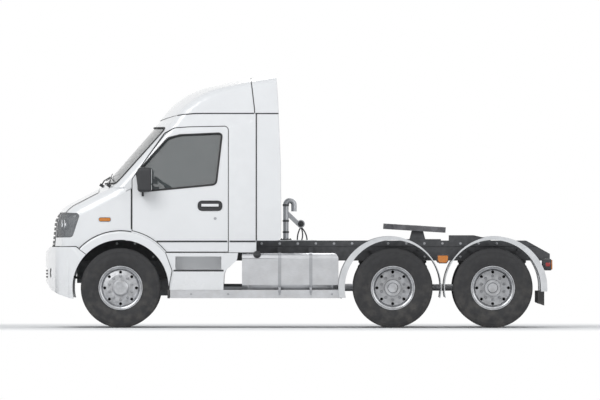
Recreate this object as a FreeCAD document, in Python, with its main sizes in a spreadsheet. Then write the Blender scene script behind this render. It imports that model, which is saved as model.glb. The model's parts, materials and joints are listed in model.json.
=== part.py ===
import FreeCAD, Part

import math
import os

import Sketcher

from FreeCAD import Placement, Rotation, Vector

# Tractor unit for semi-trailers: +X to the rear, -Y the driver's side, +Z up.
# The origin is on the ground, in the middle of the vehicle's length and width.

SIZES = (
    # name of the size, millimetres (degrees where the name says angle)
    ("front_axle_x", -2402.0),
    ("wheelbase", 3675.0),
    ("tandem_spacing", 1350.0),
    ("tyre_diameter", 1076.0),
    ("tyre_width", 315.0),
    ("tread_width", 262.0),
    ("shoulder_radius", 40.0),
    ("bead_radius", 287.0),
    ("flange_radius", 298.0),
    ("front_track_half", 1040.0),
    ("twin_outer_y", 1087.0),
    ("twin_inner_y", 747.0),
    ("hub_bore_radius", 46.0),
    ("shaft_gap", 0.06),
    ("drum_radius", 180.0),
    ("hand_hole_radius", 20.0),
    ("hand_hole_pitch", 214.0),
    ("kingpin_y", 850.0),
    ("kingpin_radius", 22.0),
    ("rear_overhang", 782.0),
    ("rail_half", 430.0),
    ("rail_flange", 80.0),
    ("rail_sheet", 8.0),
    ("rail_top", 1174.0),
    ("rail_height", 270.0),
    ("angle_height", 78.0),
    ("cab_half", 1140.0),
    ("cab_half_sill", 1125.0),
    ("cab_half_roof", 1010.0),
    ("cab_rear_x", -570.0),
    ("sill_z", 1017.0),
    ("tunnel_half", 900.0),
    ("cab_wall", 70.0),
    ("plan_axis_x", 700.0),
    ("shoulder_fillet", 150.0),
    ("roof_fillet", 120.0),
    ("panel_gap", 9.0),
    ("door_gap", 11.0),
    ("door_thick", 60.0),
    ("door_rebate", 20.0),
    ("door_lip", 35.0),
    ("seat_gap", 0.3),
    ("glass_thick", 6.0),
    ("glass_setback", 18.0),
    ("seam_z", 2893.0),
    ("arch_gap", 112.0),
    ("flare_width", 115.0),
    ("flare_half", 1225.0),
    ("liner_sheet", 14.0),
    ("liner_inner_y", 880.0),
    ("bumper_front_x", -3429.0),
    ("bumper_depth", 165.0),
    ("bumper_inner_half", 1090.0),
    ("tank_from_axle", 1639.0),
    ("tank_length", 1302.0),
    ("tank_height", 494.0),
    ("tank_outer_y", 1190.0),
    ("tank_inner_y", 560.0),
    ("tank_corner", 75.0),
    ("skirt_z", 512.0),
    ("guard_height", 112.0),
    ("mudguard_gap", 110.0),
    ("mudguard_sheet", 10.0),
    ("mudguard_outer_y", 1250.0),
    ("mudguard_inner_y", 585.0),
    ("mudguard_lip", 30.0),
    ("pivot_from_axle", 340.0),
    ("pivot_z", 1290.0),
    ("plate_thick", 74.0),
    ("plate_rise", 14.0),
    ("plate_half", 450.0),
    ("kingpin_hole_radius", 25.6),
    ("pivot_pin_radius", 25.0),
    ("plate_angle", 3.5),
    ("stay_radius", 20.0),
    ("tail_slope_length", 320.0),
    ("tail_slope_drop", 178.0),
    ("lamp_inner_y", 800.0),
    ("lamp_width", 400.0),
    ("marker_outer_y", 1240.0),
    ("marker_z", 905.0),
    ("spring_eye_z", 730.0),
    ("spring_inner_y", 385.0),
    ("spring_width", 90.0),
    ("axle_drop", 118.0),
    ("eye_height", 100.0),
    ("fork_gap", 5.0),
    ("hub_length", 68.0),
    ("pinion_length", 560.0),
    ("bellows_radius", 105.0),
    ("gearbox_from_axle", 1252.0),
    ("deck_from_axle", 1850.0),
    ("deck_length", 800.0),
    ("deck_sheet", 8.0),
    ("cab_rear", 1832.0),
    ("pillar_front", 72.0),
    ("door_front", 144.0),
    ("firewall", 232.0),
    ("cowl_z", 1890.0),
    ("cowl_thick", 45.0),
    ("wing_skin", 20.0),
    ("fairing_sheet", 30.0),
    ("flare_to_door", 17.0),
    ("flare_depth", 135.0),
    ("mirror_inner_y", 1185.0),
    ("mirror_width", 215.0),
    ("bonnet_half", 880.0),
    ("bonnet_front_z", 1566.0),
    ("bonnet_rear", -300.0),
    ("bonnet_thick", 30.0),
    ("lamp_inner_face", 640.0),
    ("lamp_depth", 110.0),
    ("grille_half", 610.0),
    ("bumper_corner", 200.0),
    ("step_outer_y", 1195.0),
    ("tread_z", 772.0),
    ("tread_depth", 220.0),
    ("post_x", 2230.0),
    ("post_radius", 37.0),
    ("neck_radius", 55.0),
    ("neck_z", 1660.0),
    ("palm_radius", 54.0),
    ("wheel_radius", 220.0),
)

DOC = FreeCAD.newDocument("tractor_unit")
SHEET = DOC.addObject("Spreadsheet::Sheet", "sizes")
NODES = []


def fill_sheet():
    """Write every driving size to the sheet under its own name."""
    for row, (name, value) in enumerate(SIZES, start=1):
        SHEET.set("A%d" % row, name)
        SHEET.set("B%d" % row, str(value))
        SHEET.setAlias("B%d" % row, name)
    DOC.recompute()


def size(name):
    """One driving size as a number."""
    return float(SHEET.get(name))


def node(thing, label):
    """Give a finished sub-part the label that names its file."""
    thing.Label = label
    NODES.append(thing)
    return thing


# ---------------------------------------------------------------- sketched bodies

def new_body(name):
    """An empty body that may hold pieces that don't touch."""
    body = DOC.addObject("PartDesign::Body", name)
    body.AllowCompound = True
    return body


def origin_plane(body, role):
    """One of the body's own origin planes or axes, such as XY_Plane or Y_Axis."""
    return [item for item in body.Origin.OriginFeatures if item.Role == role][0]


def new_sketch(body, role, offset):
    """A sketch on an origin plane, moved along that plane's normal by an expression."""
    sketch = body.newObject("Sketcher::SketchObject", "Sketch")
    sketch.AttachmentSupport = [(origin_plane(body, role), "")]
    sketch.MapMode = "FlatFace"
    sketch.setExpression("AttachmentOffset.Base.z", offset)
    return sketch


def add_outline(sketch, corners):
    """Add straight edges through corners, each a pair of expressions."""
    first = sketch.GeometryCount
    count = len(corners)
    ring = []
    for index in range(count):
        turn = 2.0 * math.pi * index / count
        ring.append(Vector(math.cos(turn), math.sin(turn), 0))
    for index in range(count):
        sketch.addGeometry(Part.LineSegment(ring[index], ring[(index + 1) % count]), False)
    for index in range(count):
        here = first + index
        following = first + (index + 1) % count
        sketch.addConstraint(Sketcher.Constraint("Coincident", here, 2, following, 1))
    for index, (across, up) in enumerate(corners):
        for kind, text in (("DistanceX", across), ("DistanceY", up)):
            fix = sketch.addConstraint(Sketcher.Constraint(kind, -1, 1, first + index, 1, 1.0))
            sketch.setExpression("Constraints[%d]" % fix, text)


def add_circle(sketch, across, up, radius):
    """Add a circle whose centre and radius are expressions."""
    place = sketch.addGeometry(Part.Circle(Vector(1, 1, 0), Vector(0, 0, 1), 1.0), False)
    for kind, text in (("DistanceX", across), ("DistanceY", up)):
        fix = sketch.addConstraint(Sketcher.Constraint(kind, -1, 1, place, 3, 1.0))
        sketch.setExpression("Constraints[%d]" % fix, text)
    fix = sketch.addConstraint(Sketcher.Constraint("Radius", place, 1.0))
    sketch.setExpression("Constraints[%d]" % fix, radius)


def add_pad(body, role, offset, corners, depth):
    """Pad an outline along the plane's normal."""
    sketch = new_sketch(body, role, offset)
    add_outline(sketch, corners)
    pad = body.newObject("PartDesign::Pad", "Pad")
    pad.Profile = sketch
    pad.setExpression("Length", depth)
    return pad


def add_round_pad(body, role, offset, circles, depth):
    """Pad a table of circles along the plane's normal."""
    sketch = new_sketch(body, role, offset)
    for across, up, radius in circles:
        add_circle(sketch, across, up, radius)
    pad = body.newObject("PartDesign::Pad", "Pad")
    pad.Profile = sketch
    pad.setExpression("Length", depth)
    return pad


def add_cut(body, role, offset, depth, corners=None, circles=()):
    """Cut an outline or circles out of the body, along the plane's normal."""
    sketch = new_sketch(body, role, offset)
    if corners:
        add_outline(sketch, corners)
    for across, up, radius in circles:
        add_circle(sketch, across, up, radius)
    cut = body.newObject("PartDesign::Pocket", "Pocket")
    cut.Profile = sketch
    cut.Reversed = True
    cut.setExpression("Length", depth)
    return cut


def add_spin(body, corners):
    """Revolve an outline on the YZ plane about the body's own Y axis."""
    sketch = new_sketch(body, "YZ_Plane", "0")
    add_outline(sketch, corners)
    spin = body.newObject("PartDesign::Revolution", "Revolution")
    spin.Profile = sketch
    spin.ReferenceAxis = (sketch, ["H_Axis"])
    spin.Angle = 360.0
    return spin


def add_rounding(body, radius, wanted):
    """Round the edges of the body's last feature that a test picks out."""
    DOC.recompute()
    base = body.Tip
    names = []
    for index, edge in enumerate(base.Shape.Edges, start=1):
        if wanted(edge):
            names.append("Edge%d" % index)
    rounding = body.newObject("PartDesign::Fillet", "Fillet")
    rounding.Base = (base, names)
    rounding.setExpression("Radius", radius)
    return rounding


def place_at(thing, across="0", along="0", up="0", turn=0.0):
    """Bind the place of a sub-part to expressions, and turn it about its upright axis."""
    thing.Placement = Placement(Vector(0, 0, 0), Rotation(Vector(0, 0, 1), turn))
    thing.setExpression("Placement.Base.x", across)
    thing.setExpression("Placement.Base.y", along)
    thing.setExpression("Placement.Base.z", up)


def mirrored(thing):
    """The same piece on the vehicle's other side."""
    other = DOC.addObject("Part::Mirroring", "Mirrored")
    other.Source = thing
    other.Base = Vector(0, 0, 0)
    other.Normal = Vector(0, 1, 0)
    return other


def group(label, things):
    """Several pieces on one body as one node."""
    together = DOC.addObject("Part::Compound", "Group")
    together.Links = things
    return node(together, label)


def pair(label, thing):
    """A piece and its mirror image as one node."""
    return group(label, [thing, mirrored(thing)])


def box(low, far):
    """A box bound to the expressions of its low corner and its three lengths."""
    block = DOC.addObject("Part::Box", "Box")
    for prop, text in zip(("Length", "Width", "Height"), far):
        block.setExpression(prop, text)
    for axis, text in zip("xyz", low):
        block.setExpression("Placement.Base." + axis, text)
    return block


def rod(centre, radius, length, direction):
    """A round rod bound to expressions, from its start point along a direction."""
    bar = DOC.addObject("Part::Cylinder", "Rod")
    bar.Placement = Placement(Vector(0, 0, 0), Rotation(Vector(0, 0, 1), direction))
    bar.setExpression("Radius", radius)
    bar.setExpression("Height", length)
    for axis, text in zip("xyz", centre):
        bar.setExpression("Placement.Base." + axis, text)
    return bar


def shaped(label, solids, place=None):
    """A node whose shape is worked out below with Part's own functions."""
    thing = DOC.addObject("Part::Feature", label)
    thing.Shape = solids[0] if len(solids) == 1 else Part.makeCompound(solids)
    thing.Placement = place or Placement()
    return node(thing, label)


# ---------------------------------------------------------------- places used often

AXLE_Z = "sizes.tyre_diameter / 2"
DRIVE_X = ("sizes.front_axle_x + sizes.wheelbase",
           "sizes.front_axle_x + sizes.wheelbase + sizes.tandem_spacing")
TWIN_Y = "(sizes.twin_outer_y + sizes.twin_inner_y) / 2"
TWIN_HALF = "(sizes.twin_outer_y - sizes.twin_inner_y) / 2"
RAIL_LOW = "sizes.rail_top - sizes.rail_height"
WEB_INNER = "sizes.rail_half - sizes.rail_sheet"
PIVOT_X = "sizes.front_axle_x + sizes.wheelbase + sizes.pivot_from_axle"
SHAFT = "sizes.hub_bore_radius - sizes.shaft_gap"
LAMP_X = "(%s + %s) / 2" % DRIVE_X
GUARD_FRONT_X = "sizes.front_axle_x + sizes.tyre_diameter / 2 + sizes.arch_gap + 20"
BUMPER_REACH = "(sizes.plan_axis_x - sizes.bumper_front_x - sizes.bumper_depth)"
RAIL_FRONT = ("(sizes.plan_axis_x - sqrt(%s ^ 2 - (sizes.rail_half + sizes.rail_sheet) ^ 2) + sizes.seat_gap)"
              % BUMPER_REACH)
RAIL_REAR = "(%s + sizes.rear_overhang)" % DRIVE_X[1]
LAMP_REAR = "(%s + 24)" % RAIL_REAR
TANK_FRONT = "(sizes.front_axle_x + sizes.tank_from_axle)"
GEARBOX_REAR = "(sizes.front_axle_x + sizes.gearbox_from_axle)"
CAB_FLOOR = "(sizes.rail_top + sizes.seat_gap + sizes.cab_wall)"


# ---------------------------------------------------------------- wheels

def tyre_corners(centre):
    """Half-section of a tyre round its rim, as distances along the axle and radii."""
    sides = (
        # share of the width from the middle, radius
        ("-117.6", "sizes.bead_radius"), ("-117.6", "sizes.flange_radius + 3"),
        ("-138", "sizes.flange_radius + 6"),
        ("-sizes.tyre_width / 2", "sizes.flange_radius + 90"),
        ("-sizes.tyre_width / 2", "sizes.tyre_diameter / 2 - 110"),
        ("-sizes.tread_width / 2 - 10", "sizes.tyre_diameter / 2"),
        ("sizes.tread_width / 2 + 10", "sizes.tyre_diameter / 2"),
        ("sizes.tyre_width / 2", "sizes.tyre_diameter / 2 - 110"),
        ("sizes.tyre_width / 2", "sizes.flange_radius + 90"),
        ("138", "sizes.flange_radius + 6"),
        ("117.6", "sizes.flange_radius + 3"), ("117.6", "sizes.bead_radius"),
    )
    return [("%s + (%s)" % (centre, along), radius) for along, radius in sides]


def rounded_tyre(name, centre):
    """One tyre, with round shoulders and sidewalls."""
    body = new_body(name)
    add_spin(body, tyre_corners(centre))
    crown = size("tyre_diameter") / 2.0

    def shoulder(edge):
        """The two edges of the tread."""
        return abs(edge.BoundBox.ZMax - crown) < 0.5 and edge.BoundBox.ZLength > crown

    add_rounding(body, "sizes.shoulder_radius", shoulder)
    return body


FRONT_RIM = (
    # distance along the axle (outwards is negative), radius
    ("-128", "sizes.flange_radius"), ("-128", "sizes.flange_radius - 12"), ("-108", "279"),
    ("-98", "259"), ("-70", "250"), ("-86", "236"), ("-98", "180"), ("-98", "112"),
    ("-152", "106"), ("-165", "88"), ("-165", "0"), ("-95", "0"),
    ("-95", "sizes.hub_bore_radius"), ("sizes.hub_length", "sizes.hub_bore_radius"),
    ("sizes.hub_length", "sizes.drum_radius"), ("-70", "sizes.drum_radius"), ("-72", "232"), ("-52", "248"),
    ("100", "258"), ("108", "279"), ("128", "sizes.flange_radius - 12"),
    ("128", "sizes.flange_radius"), ("120", "sizes.flange_radius"), ("117", "284"),
    ("62", "282"), ("50", "268"), ("-50", "268"), ("-90", "282"), ("-117", "284"),
    ("-120", "sizes.flange_radius"),
)

TWIN_RIM_HALF = (
    # distance from the joint between the twin rims, radius: the barrel from its outer
    # flange round to its inner one
    (42, "sizes.flange_radius"), (50, "sizes.flange_radius"), (53, "284"), (108, "282"),
    (120, "268"), (220, "268"), (232, "282"), (287, "284"), (290, "sizes.flange_radius"),
    (298, "sizes.flange_radius"), (298, "sizes.flange_radius - 12"), (278, "279"),
    (268, "260"), (30, "250"), (14, "236"),
)


def twin_rim_corners():
    """Section of two rims bolted back to back, with the hub and the brake drum."""
    outwards = [("-%d" % along, radius) for along, radius in TWIN_RIM_HALF]
    hub = [("-14", "112"), ("-118", "108"), ("-118", "72"), ("-136", "62"), ("-136", "0"),
           ("-60", "0"), ("-60", "sizes.hub_bore_radius"), ("210", "sizes.hub_bore_radius"),
           ("210", "sizes.drum_radius"), ("14", "sizes.drum_radius")]
    inwards = [("%d" % along, radius) for along, radius in reversed(TWIN_RIM_HALF)]
    valley = [("26", "266"), ("-26", "266")]
    return outwards + hub + inwards + valley


def rim(name, corners):
    """A rim with its disc and hub, and hand holes round the disc."""
    body = new_body(name)
    add_spin(body, corners)
    hole = add_cut(body, "XZ_Plane", "0", "200",
                   circles=[("0", "sizes.hand_hole_pitch", "sizes.hand_hole_radius")])
    hole.Reversed = False
    hole.Midplane = True
    ring = body.newObject("PartDesign::PolarPattern", "PolarPattern")
    ring.Originals = [hole]
    ring.Axis = (origin_plane(body, "Y_Axis"), [""])
    ring.Angle = 360.0
    ring.Occurrences = 8
    body.Tip = ring
    return body


def front_wheels():
    """A single tyre and rim on each steered hub."""
    for side, sign, turn in (("left", "-", 0.0), ("right", "", 180.0)):
        across = sign + "sizes.front_track_half"
        tyre = node(rounded_tyre("FrontTyre", "0"), "front_tyre_" + side)
        place_at(tyre, "sizes.front_axle_x", across, AXLE_Z, turn)
        wheel = node(rim("FrontRim", FRONT_RIM), "front_rim_" + side)
        place_at(wheel, "sizes.front_axle_x", across, AXLE_Z, turn)


def drive_wheels():
    """Twin tyres and rims at both ends of both drive axles."""
    for row, axle_x in (("front", DRIVE_X[0]), ("rear", DRIVE_X[1])):
        for side, sign, turn in (("left", "-", 0.0), ("right", "", 180.0)):
            across = "%s(%s)" % (sign, TWIN_Y)
            name = "_%s_%s" % (row, side)
            twins = []
            for centre in ("-" + TWIN_HALF, TWIN_HALF):
                twins.append(rounded_tyre("DriveTyre", centre))
            tyres = group("drive_tyres" + name, twins)
            place_at(tyres, axle_x, across, AXLE_Z, turn)
            wheel = node(rim("DriveRim", twin_rim_corners()), "drive_rims" + name)
            place_at(wheel, axle_x, across, AXLE_Z, turn)


# ---------------------------------------------------------------- chassis

def rectangle(low_across, low_up, high_across, high_up):
    """Four corners from two opposite ones."""
    return [(low_across, low_up), (high_across, low_up), (high_across, high_up), (low_across, high_up)]


def frame_rails():
    """Two channel rails, each with a mounting angle along its outside and a sloping tail."""
    rail = new_body("Rail")
    flange = "-(sizes.rail_half - sizes.rail_flange)"
    web = "-(%s)" % WEB_INNER
    strip = "-(sizes.rail_half + sizes.rail_sheet)"
    low, high = RAIL_LOW, "sizes.rail_top"
    add_pad(rail, "YZ_Plane", RAIL_FRONT, [
        (flange, high), (strip, high), (strip, high + " - sizes.angle_height"),
        ("-sizes.rail_half", high + " - sizes.angle_height"), ("-sizes.rail_half", low),
        (flange, low), (flange, low + " + sizes.rail_sheet"), (web, low + " + sizes.rail_sheet"),
        (web, high + " - sizes.rail_sheet"), (flange, high + " - sizes.rail_sheet"),
    ], "%s - %s" % (RAIL_REAR, RAIL_FRONT))
    add_cut(rail, "XZ_Plane", "0", "sizes.rail_half * 2", [
        (RAIL_REAR + " - sizes.tail_slope_length", high + " + 1"),
        (RAIL_REAR + " + 1", high + " + 1"),
        (RAIL_REAR + " + 1", high + " - sizes.tail_slope_drop"),
    ])
    pair("frame_rails", rail)


def cross_members():
    """Box sections between the rails' webs, and the bar that carries the tail lamps."""
    places = (RAIL_FRONT + " + 40", "sizes.front_axle_x + 1342", "sizes.front_axle_x + 2072",
              "sizes.front_axle_x + 2802", PIVOT_X + " - 40", DRIVE_X[1] + " - 380", RAIL_REAR + " - 500")
    bars = []
    for place in places:
        bars.append(box((place, "-(%s)" % WEB_INNER, RAIL_LOW + " + 70"),
                        ("80", "2 * (%s)" % WEB_INNER, "130")))
    bars.append(box((RAIL_REAR + " - 75", "-sizes.lamp_inner_y", RAIL_LOW + " - 80"),
                    ("60", "2 * sizes.lamp_inner_y", "80")))
    group("cross_members", bars)


def chassis_brackets():
    """Spring hangers, tank brackets, mudguard stays and marker lamp arms."""
    left = []
    for along in ("-780", "720"):
        left.append(box(("sizes.front_axle_x + (%s)" % along, "-sizes.rail_half", "sizes.spring_eye_z"),
                        ("60", "60", "%s - sizes.spring_eye_z" % RAIL_LOW)))
    for along in ("478", "899"):
        bracket = new_body("TankBracket")
        add_pad(bracket, "YZ_Plane", "%s + %s" % (TANK_FRONT, along), [
            ("-sizes.rail_half", RAIL_LOW + " + 180"), ("-sizes.rail_half", "sizes.skirt_z - 42"),
            ("-(sizes.tank_outer_y - 40)", "sizes.skirt_z - 42"),
            ("-(sizes.tank_outer_y - 40)", "sizes.skirt_z"),
            ("-(sizes.tank_inner_y - 10)", "sizes.skirt_z"),
            ("-(sizes.tank_inner_y - 10)", RAIL_LOW + " + 180"),
        ], "60")
        left.append(bracket)
    stay_ring = "(sizes.tyre_diameter / 2 + sizes.mudguard_gap - sizes.stay_radius - sizes.seat_gap)"
    for axle_x in DRIVE_X:
        for slant in ("-34", "34"):
            left.append(rod((axle_x + " + %s * sin(%s)" % (stay_ring, slant), "-sizes.rail_half",
                             "%s + %s * cos(%s)" % (AXLE_Z, stay_ring, slant)),
                            "sizes.stay_radius", "sizes.mudguard_outer_y - sizes.rail_half - 120",
                            Vector(0, -1, 0)))
    left.append(box((LAMP_X + " - 20", "-(sizes.marker_outer_y - 60)", "sizes.marker_z + 10"),
                    ("40", "sizes.marker_outer_y - 60 - sizes.rail_half", "40")))
    right = [mirrored(item) for item in left]
    group("chassis_brackets", left + right)


def engine():
    """The engine and gearbox as one plain block between the rails."""
    half = "(sizes.rail_half - sizes.rail_flange - sizes.seat_gap)"
    block = new_body("Engine")
    add_pad(block, "XZ_Plane", "-" + half, [
        ("sizes.front_axle_x - 600", "600"), ("sizes.front_axle_x - 600", "1320"),
        ("sizes.front_axle_x + 50", "1320"), ("sizes.front_axle_x + 50", "960"),
        (GEARBOX_REAR, "860"), (GEARBOX_REAR, "430"),
        ("sizes.front_axle_x + 300", "430"), ("sizes.front_axle_x + 300", "600"),
    ], "2 * " + half)
    node(block, "engine")


def front_axle():
    """A dropped beam with an eye for each kingpin and a seat for each spring."""
    beam = new_body("FrontAxle")
    low = AXLE_Z + " - sizes.axle_drop"
    place = "sizes.front_axle_x"
    add_pad(beam, "XY_Plane", low, rectangle(place + " - 50", "-sizes.kingpin_y", place + " + 50",
                                             "sizes.kingpin_y"), "sizes.eye_height")
    add_round_pad(beam, "XY_Plane", low, [(place, "-sizes.kingpin_y", "62")], "sizes.eye_height")
    add_round_pad(beam, "XY_Plane", low, [(place, "sizes.kingpin_y", "62")], "sizes.eye_height")
    for side in ("-", ""):
        add_pad(beam, "XY_Plane", low + " + sizes.eye_height",
                rectangle(place + " - 110", side + "sizes.spring_inner_y", place + " + 110",
                          side + "(sizes.spring_inner_y + sizes.spring_width)"), "40")
    bore = "sizes.kingpin_radius + sizes.shaft_gap"
    add_cut(beam, "XY_Plane", low, "sizes.eye_height",
            circles=[(place, "-sizes.kingpin_y", bore), (place, "sizes.kingpin_y", bore)])
    node(beam, "front_axle")


def leaf_springs():
    """A spring pack under each rail, bowed up to its eyes."""
    spring = new_body("Spring")
    seat = AXLE_Z + " - sizes.axle_drop + sizes.eye_height + 40"
    place = "sizes.front_axle_x"
    add_pad(spring, "XZ_Plane", "sizes.spring_inner_y", [
        (place + " - 120", seat), (place + " + 120", seat),
        (place + " + 780", "sizes.spring_eye_z - 30"), (place + " + 780", "sizes.spring_eye_z"),
        (place + " + 120", seat + " + 64"), (place + " - 120", seat + " + 64"),
        (place + " - 780", "sizes.spring_eye_z"), (place + " - 780", "sizes.spring_eye_z - 30"),
    ], "sizes.spring_width")
    pair("leaf_springs", spring)


def knuckles():
    """The forked steering knuckle on each kingpin, with the spindle that its wheel turns on."""
    place = "sizes.front_axle_x"
    low = AXLE_Z + " - sizes.axle_drop"
    for side, sign in (("left", "-"), ("right", "")):
        knuckle = new_body("Knuckle")
        face = "(sizes.front_track_half - sizes.hub_length - 10)"
        inner = "(sizes.kingpin_y - 50)"
        web = "(sizes.kingpin_y + 62 + sizes.fork_gap * 2)"
        add_round_pad(knuckle, "XY_Plane", low + " - sizes.fork_gap - 36",
                      [(place, sign + "sizes.kingpin_y", "sizes.kingpin_radius")],
                      "sizes.eye_height + 2 * sizes.fork_gap + 72")
        for level in (low + " - sizes.fork_gap - 36", low + " + sizes.eye_height + sizes.fork_gap"):
            add_pad(knuckle, "XY_Plane", level,
                    rectangle(place + " - 50", sign + inner, place + " + 50", sign + face), "36")
        add_pad(knuckle, "XY_Plane", low + " - sizes.fork_gap - 36",
                rectangle(place + " - 50", sign + web, place + " + 50", sign + face),
                "sizes.eye_height + 2 * sizes.fork_gap + 72")
        spindle = add_round_pad(knuckle, "XZ_Plane", "%s(%s)" % ("" if sign else "-", face),
                                [(place, AXLE_Z, SHAFT)], "sizes.hub_length + 10 + 89")
        spindle.Reversed = not sign
        node(knuckle, "knuckle_" + side)


def drive_axles():
    """Two driven axles with their differentials, spindles and spring beams."""
    axles = []
    for axle_x in DRIVE_X:
        axle = new_body("DriveAxle")
        for half, radius in (("(%s - 205 - 10)" % TWIN_Y, "62"), ("(%s + 55)" % TWIN_Y, SHAFT), ("130", "205")):
            add_round_pad(axle, "XZ_Plane", "-" + half, [(axle_x, AXLE_Z, radius)], "2 * " + half)
        add_round_pad(axle, "YZ_Plane", axle_x + " - 330", [("0", AXLE_Z, "90")], "sizes.pinion_length")
        for side in ("-", ""):
            beam = rectangle(axle_x + " - 470", side + "370", axle_x + " + 470", side + "490")
            saddle = rectangle(axle_x + " - 70", side + "370", axle_x + " + 70", side + "490")
            add_pad(axle, "XY_Plane", AXLE_Z + " - 112", beam, "50")
            add_pad(axle, "XY_Plane", AXLE_Z + " - 112", saddle, "112")
        axles.append(axle)
    group("drive_axles", axles)


def air_springs():
    """Eight bellows between the spring beams and the rails."""
    bellows = []
    for axle_x in DRIVE_X:
        for along in ("-365", "365"):
            for side in ("-", ""):
                bellows.append(rod((axle_x + " + (%s)" % along, side + "sizes.rail_half", AXLE_Z + " - 62"),
                                   "sizes.bellows_radius", "%s - (%s - 62)" % (RAIL_LOW, AXLE_Z),
                                   Vector(0, 0, 1)))
    group("air_springs", bellows)


def propeller_shafts():
    """The shaft from the gearbox, and the short one between the drive axles."""
    nose = DRIVE_X[0] + " - 330"
    tail = "(%s) - 330 + sizes.pinion_length" % DRIVE_X[0]
    shafts = [
        rod((GEARBOX_REAR, "0", AXLE_Z), "50", "%s - %s" % (nose, GEARBOX_REAR), Vector(1, 0, 0)),
        rod((tail, "0", AXLE_Z), "45", "%s - 330 - (%s)" % (DRIVE_X[1], tail), Vector(1, 0, 0)),
    ]
    group("propeller_shafts", shafts)


def fuel_tanks():
    """A box tank with round corners on each side."""
    tank = new_body("Tank")
    add_pad(tank, "XY_Plane", "sizes.skirt_z",
            rectangle(TANK_FRONT, "-sizes.tank_outer_y", TANK_FRONT + " + sizes.tank_length",
                      "-sizes.tank_inner_y"), "sizes.tank_height")
    floor = size("skirt_z")
    inner = -size("tank_inner_y")

    def long_edge(edge):
        """The top and outer edges that run along the tank, and those of its ends."""
        spot = edge.valueAt((edge.FirstParameter + edge.LastParameter) / 2.0)
        return edge.BoundBox.XLength > 10 and (spot.z > floor + 10 or spot.y < inner - 10)

    add_rounding(tank, "sizes.tank_corner", long_edge)
    pair("fuel_tanks", tank)


def side_guards():
    """The guard rail below the steps and tanks."""
    bar = new_body("Guard")
    add_pad(bar, "XY_Plane", "sizes.skirt_z - sizes.guard_height",
            rectangle(GUARD_FRONT_X, "-sizes.tank_outer_y", TANK_FRONT + " + sizes.tank_length + 48",
                      "-(sizes.tank_outer_y - 40)"), "sizes.guard_height")
    pair("side_guards", bar)


def rear_mudguards():
    """Round guards over the twin wheels, each with a lip that widens towards its outer end."""
    guards = []
    radius = "(sizes.tyre_diameter / 2 + sizes.mudguard_gap)"
    for axle_x, shift, rear in ((DRIVE_X[0], "-40", "402"), (DRIVE_X[1], "40", "490")):
        guard = new_body("Mudguard")
        sheet = "(%s + sizes.mudguard_sheet)" % radius
        depth = "sizes.mudguard_outer_y - sizes.mudguard_inner_y"
        add_round_pad(guard, "XZ_Plane", "sizes.mudguard_inner_y", [(axle_x, AXLE_Z, sheet)], depth)
        add_round_pad(guard, "XZ_Plane", "sizes.mudguard_outer_y - sizes.mudguard_lip",
                      [("%s + (%s)" % (axle_x, shift), AXLE_Z, radius + " + 47")], "sizes.mudguard_lip")
        add_cut(guard, "XZ_Plane", "sizes.mudguard_inner_y - 1", depth + " + 2",
                circles=[(axle_x, AXLE_Z, radius)])
        add_cut(guard, "XZ_Plane", "sizes.mudguard_inner_y - 1", depth + " + 2",
                rectangle(axle_x + " - 900", "-300", axle_x, "405"))
        add_cut(guard, "XZ_Plane", "sizes.mudguard_inner_y - 1", depth + " + 2",
                rectangle(axle_x, "-300", axle_x + " + 900", rear))
        guards.append(guard)
    right = [mirrored(item) for item in guards]
    group("rear_mudguards", guards + right)


def mud_flaps():
    """A rubber flap below the last mudguard on each side."""
    flap = new_body("Flap")
    top = "490 - sizes.seat_gap"
    rim_x = "%s + sizes.tyre_diameter / 2 + sizes.mudguard_gap" % DRIVE_X[1]
    add_pad(flap, "XZ_Plane", "sizes.mudguard_inner_y + 10", [
        (rim_x + " - 45", top), (rim_x + " + 45", top),
        (rim_x + " + 45", "300"), (rim_x + " - 45", "330"),
    ], "sizes.mudguard_outer_y - sizes.mudguard_inner_y - 20")
    pair("mud_flaps", flap)


def lamps():
    """Tail lamps on the rear bar, and the marker lamp between the drive wheels."""
    tail = new_body("TailLamp")
    add_pad(tail, "XZ_Plane", "sizes.lamp_inner_y", [
        (LAMP_REAR + " - 109", "774"), (LAMP_REAR + " - 20", "774"),
        (LAMP_REAR, "794"), (LAMP_REAR, "929"), (LAMP_REAR + " - 109", "929"),
    ], "sizes.lamp_width")
    pair("tail_lamps", tail)
    marker = new_body("Marker")
    add_pad(marker, "XZ_Plane", "sizes.marker_outer_y - 60", [
        (LAMP_X + " - 74", "980"), (LAMP_X + " - 74", "915"), (LAMP_X + " - 48", "875"),
        (LAMP_X + " + 48", "875"), (LAMP_X + " + 74", "915"), (LAMP_X + " + 74", "980"),
    ], "60")
    pair("marker_lamps", marker)


def deck_plate():
    """The walkway plate on the rails behind the cab."""
    place = "sizes.front_axle_x + sizes.deck_from_axle"
    half = "(sizes.rail_half + sizes.rail_sheet)"
    deck = box((place, "-" + half, "sizes.rail_top"), ("sizes.deck_length", "2 * " + half, "sizes.deck_sheet"))
    node(deck, "deck_plate")


# ---------------------------------------------------------------- coupling

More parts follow.
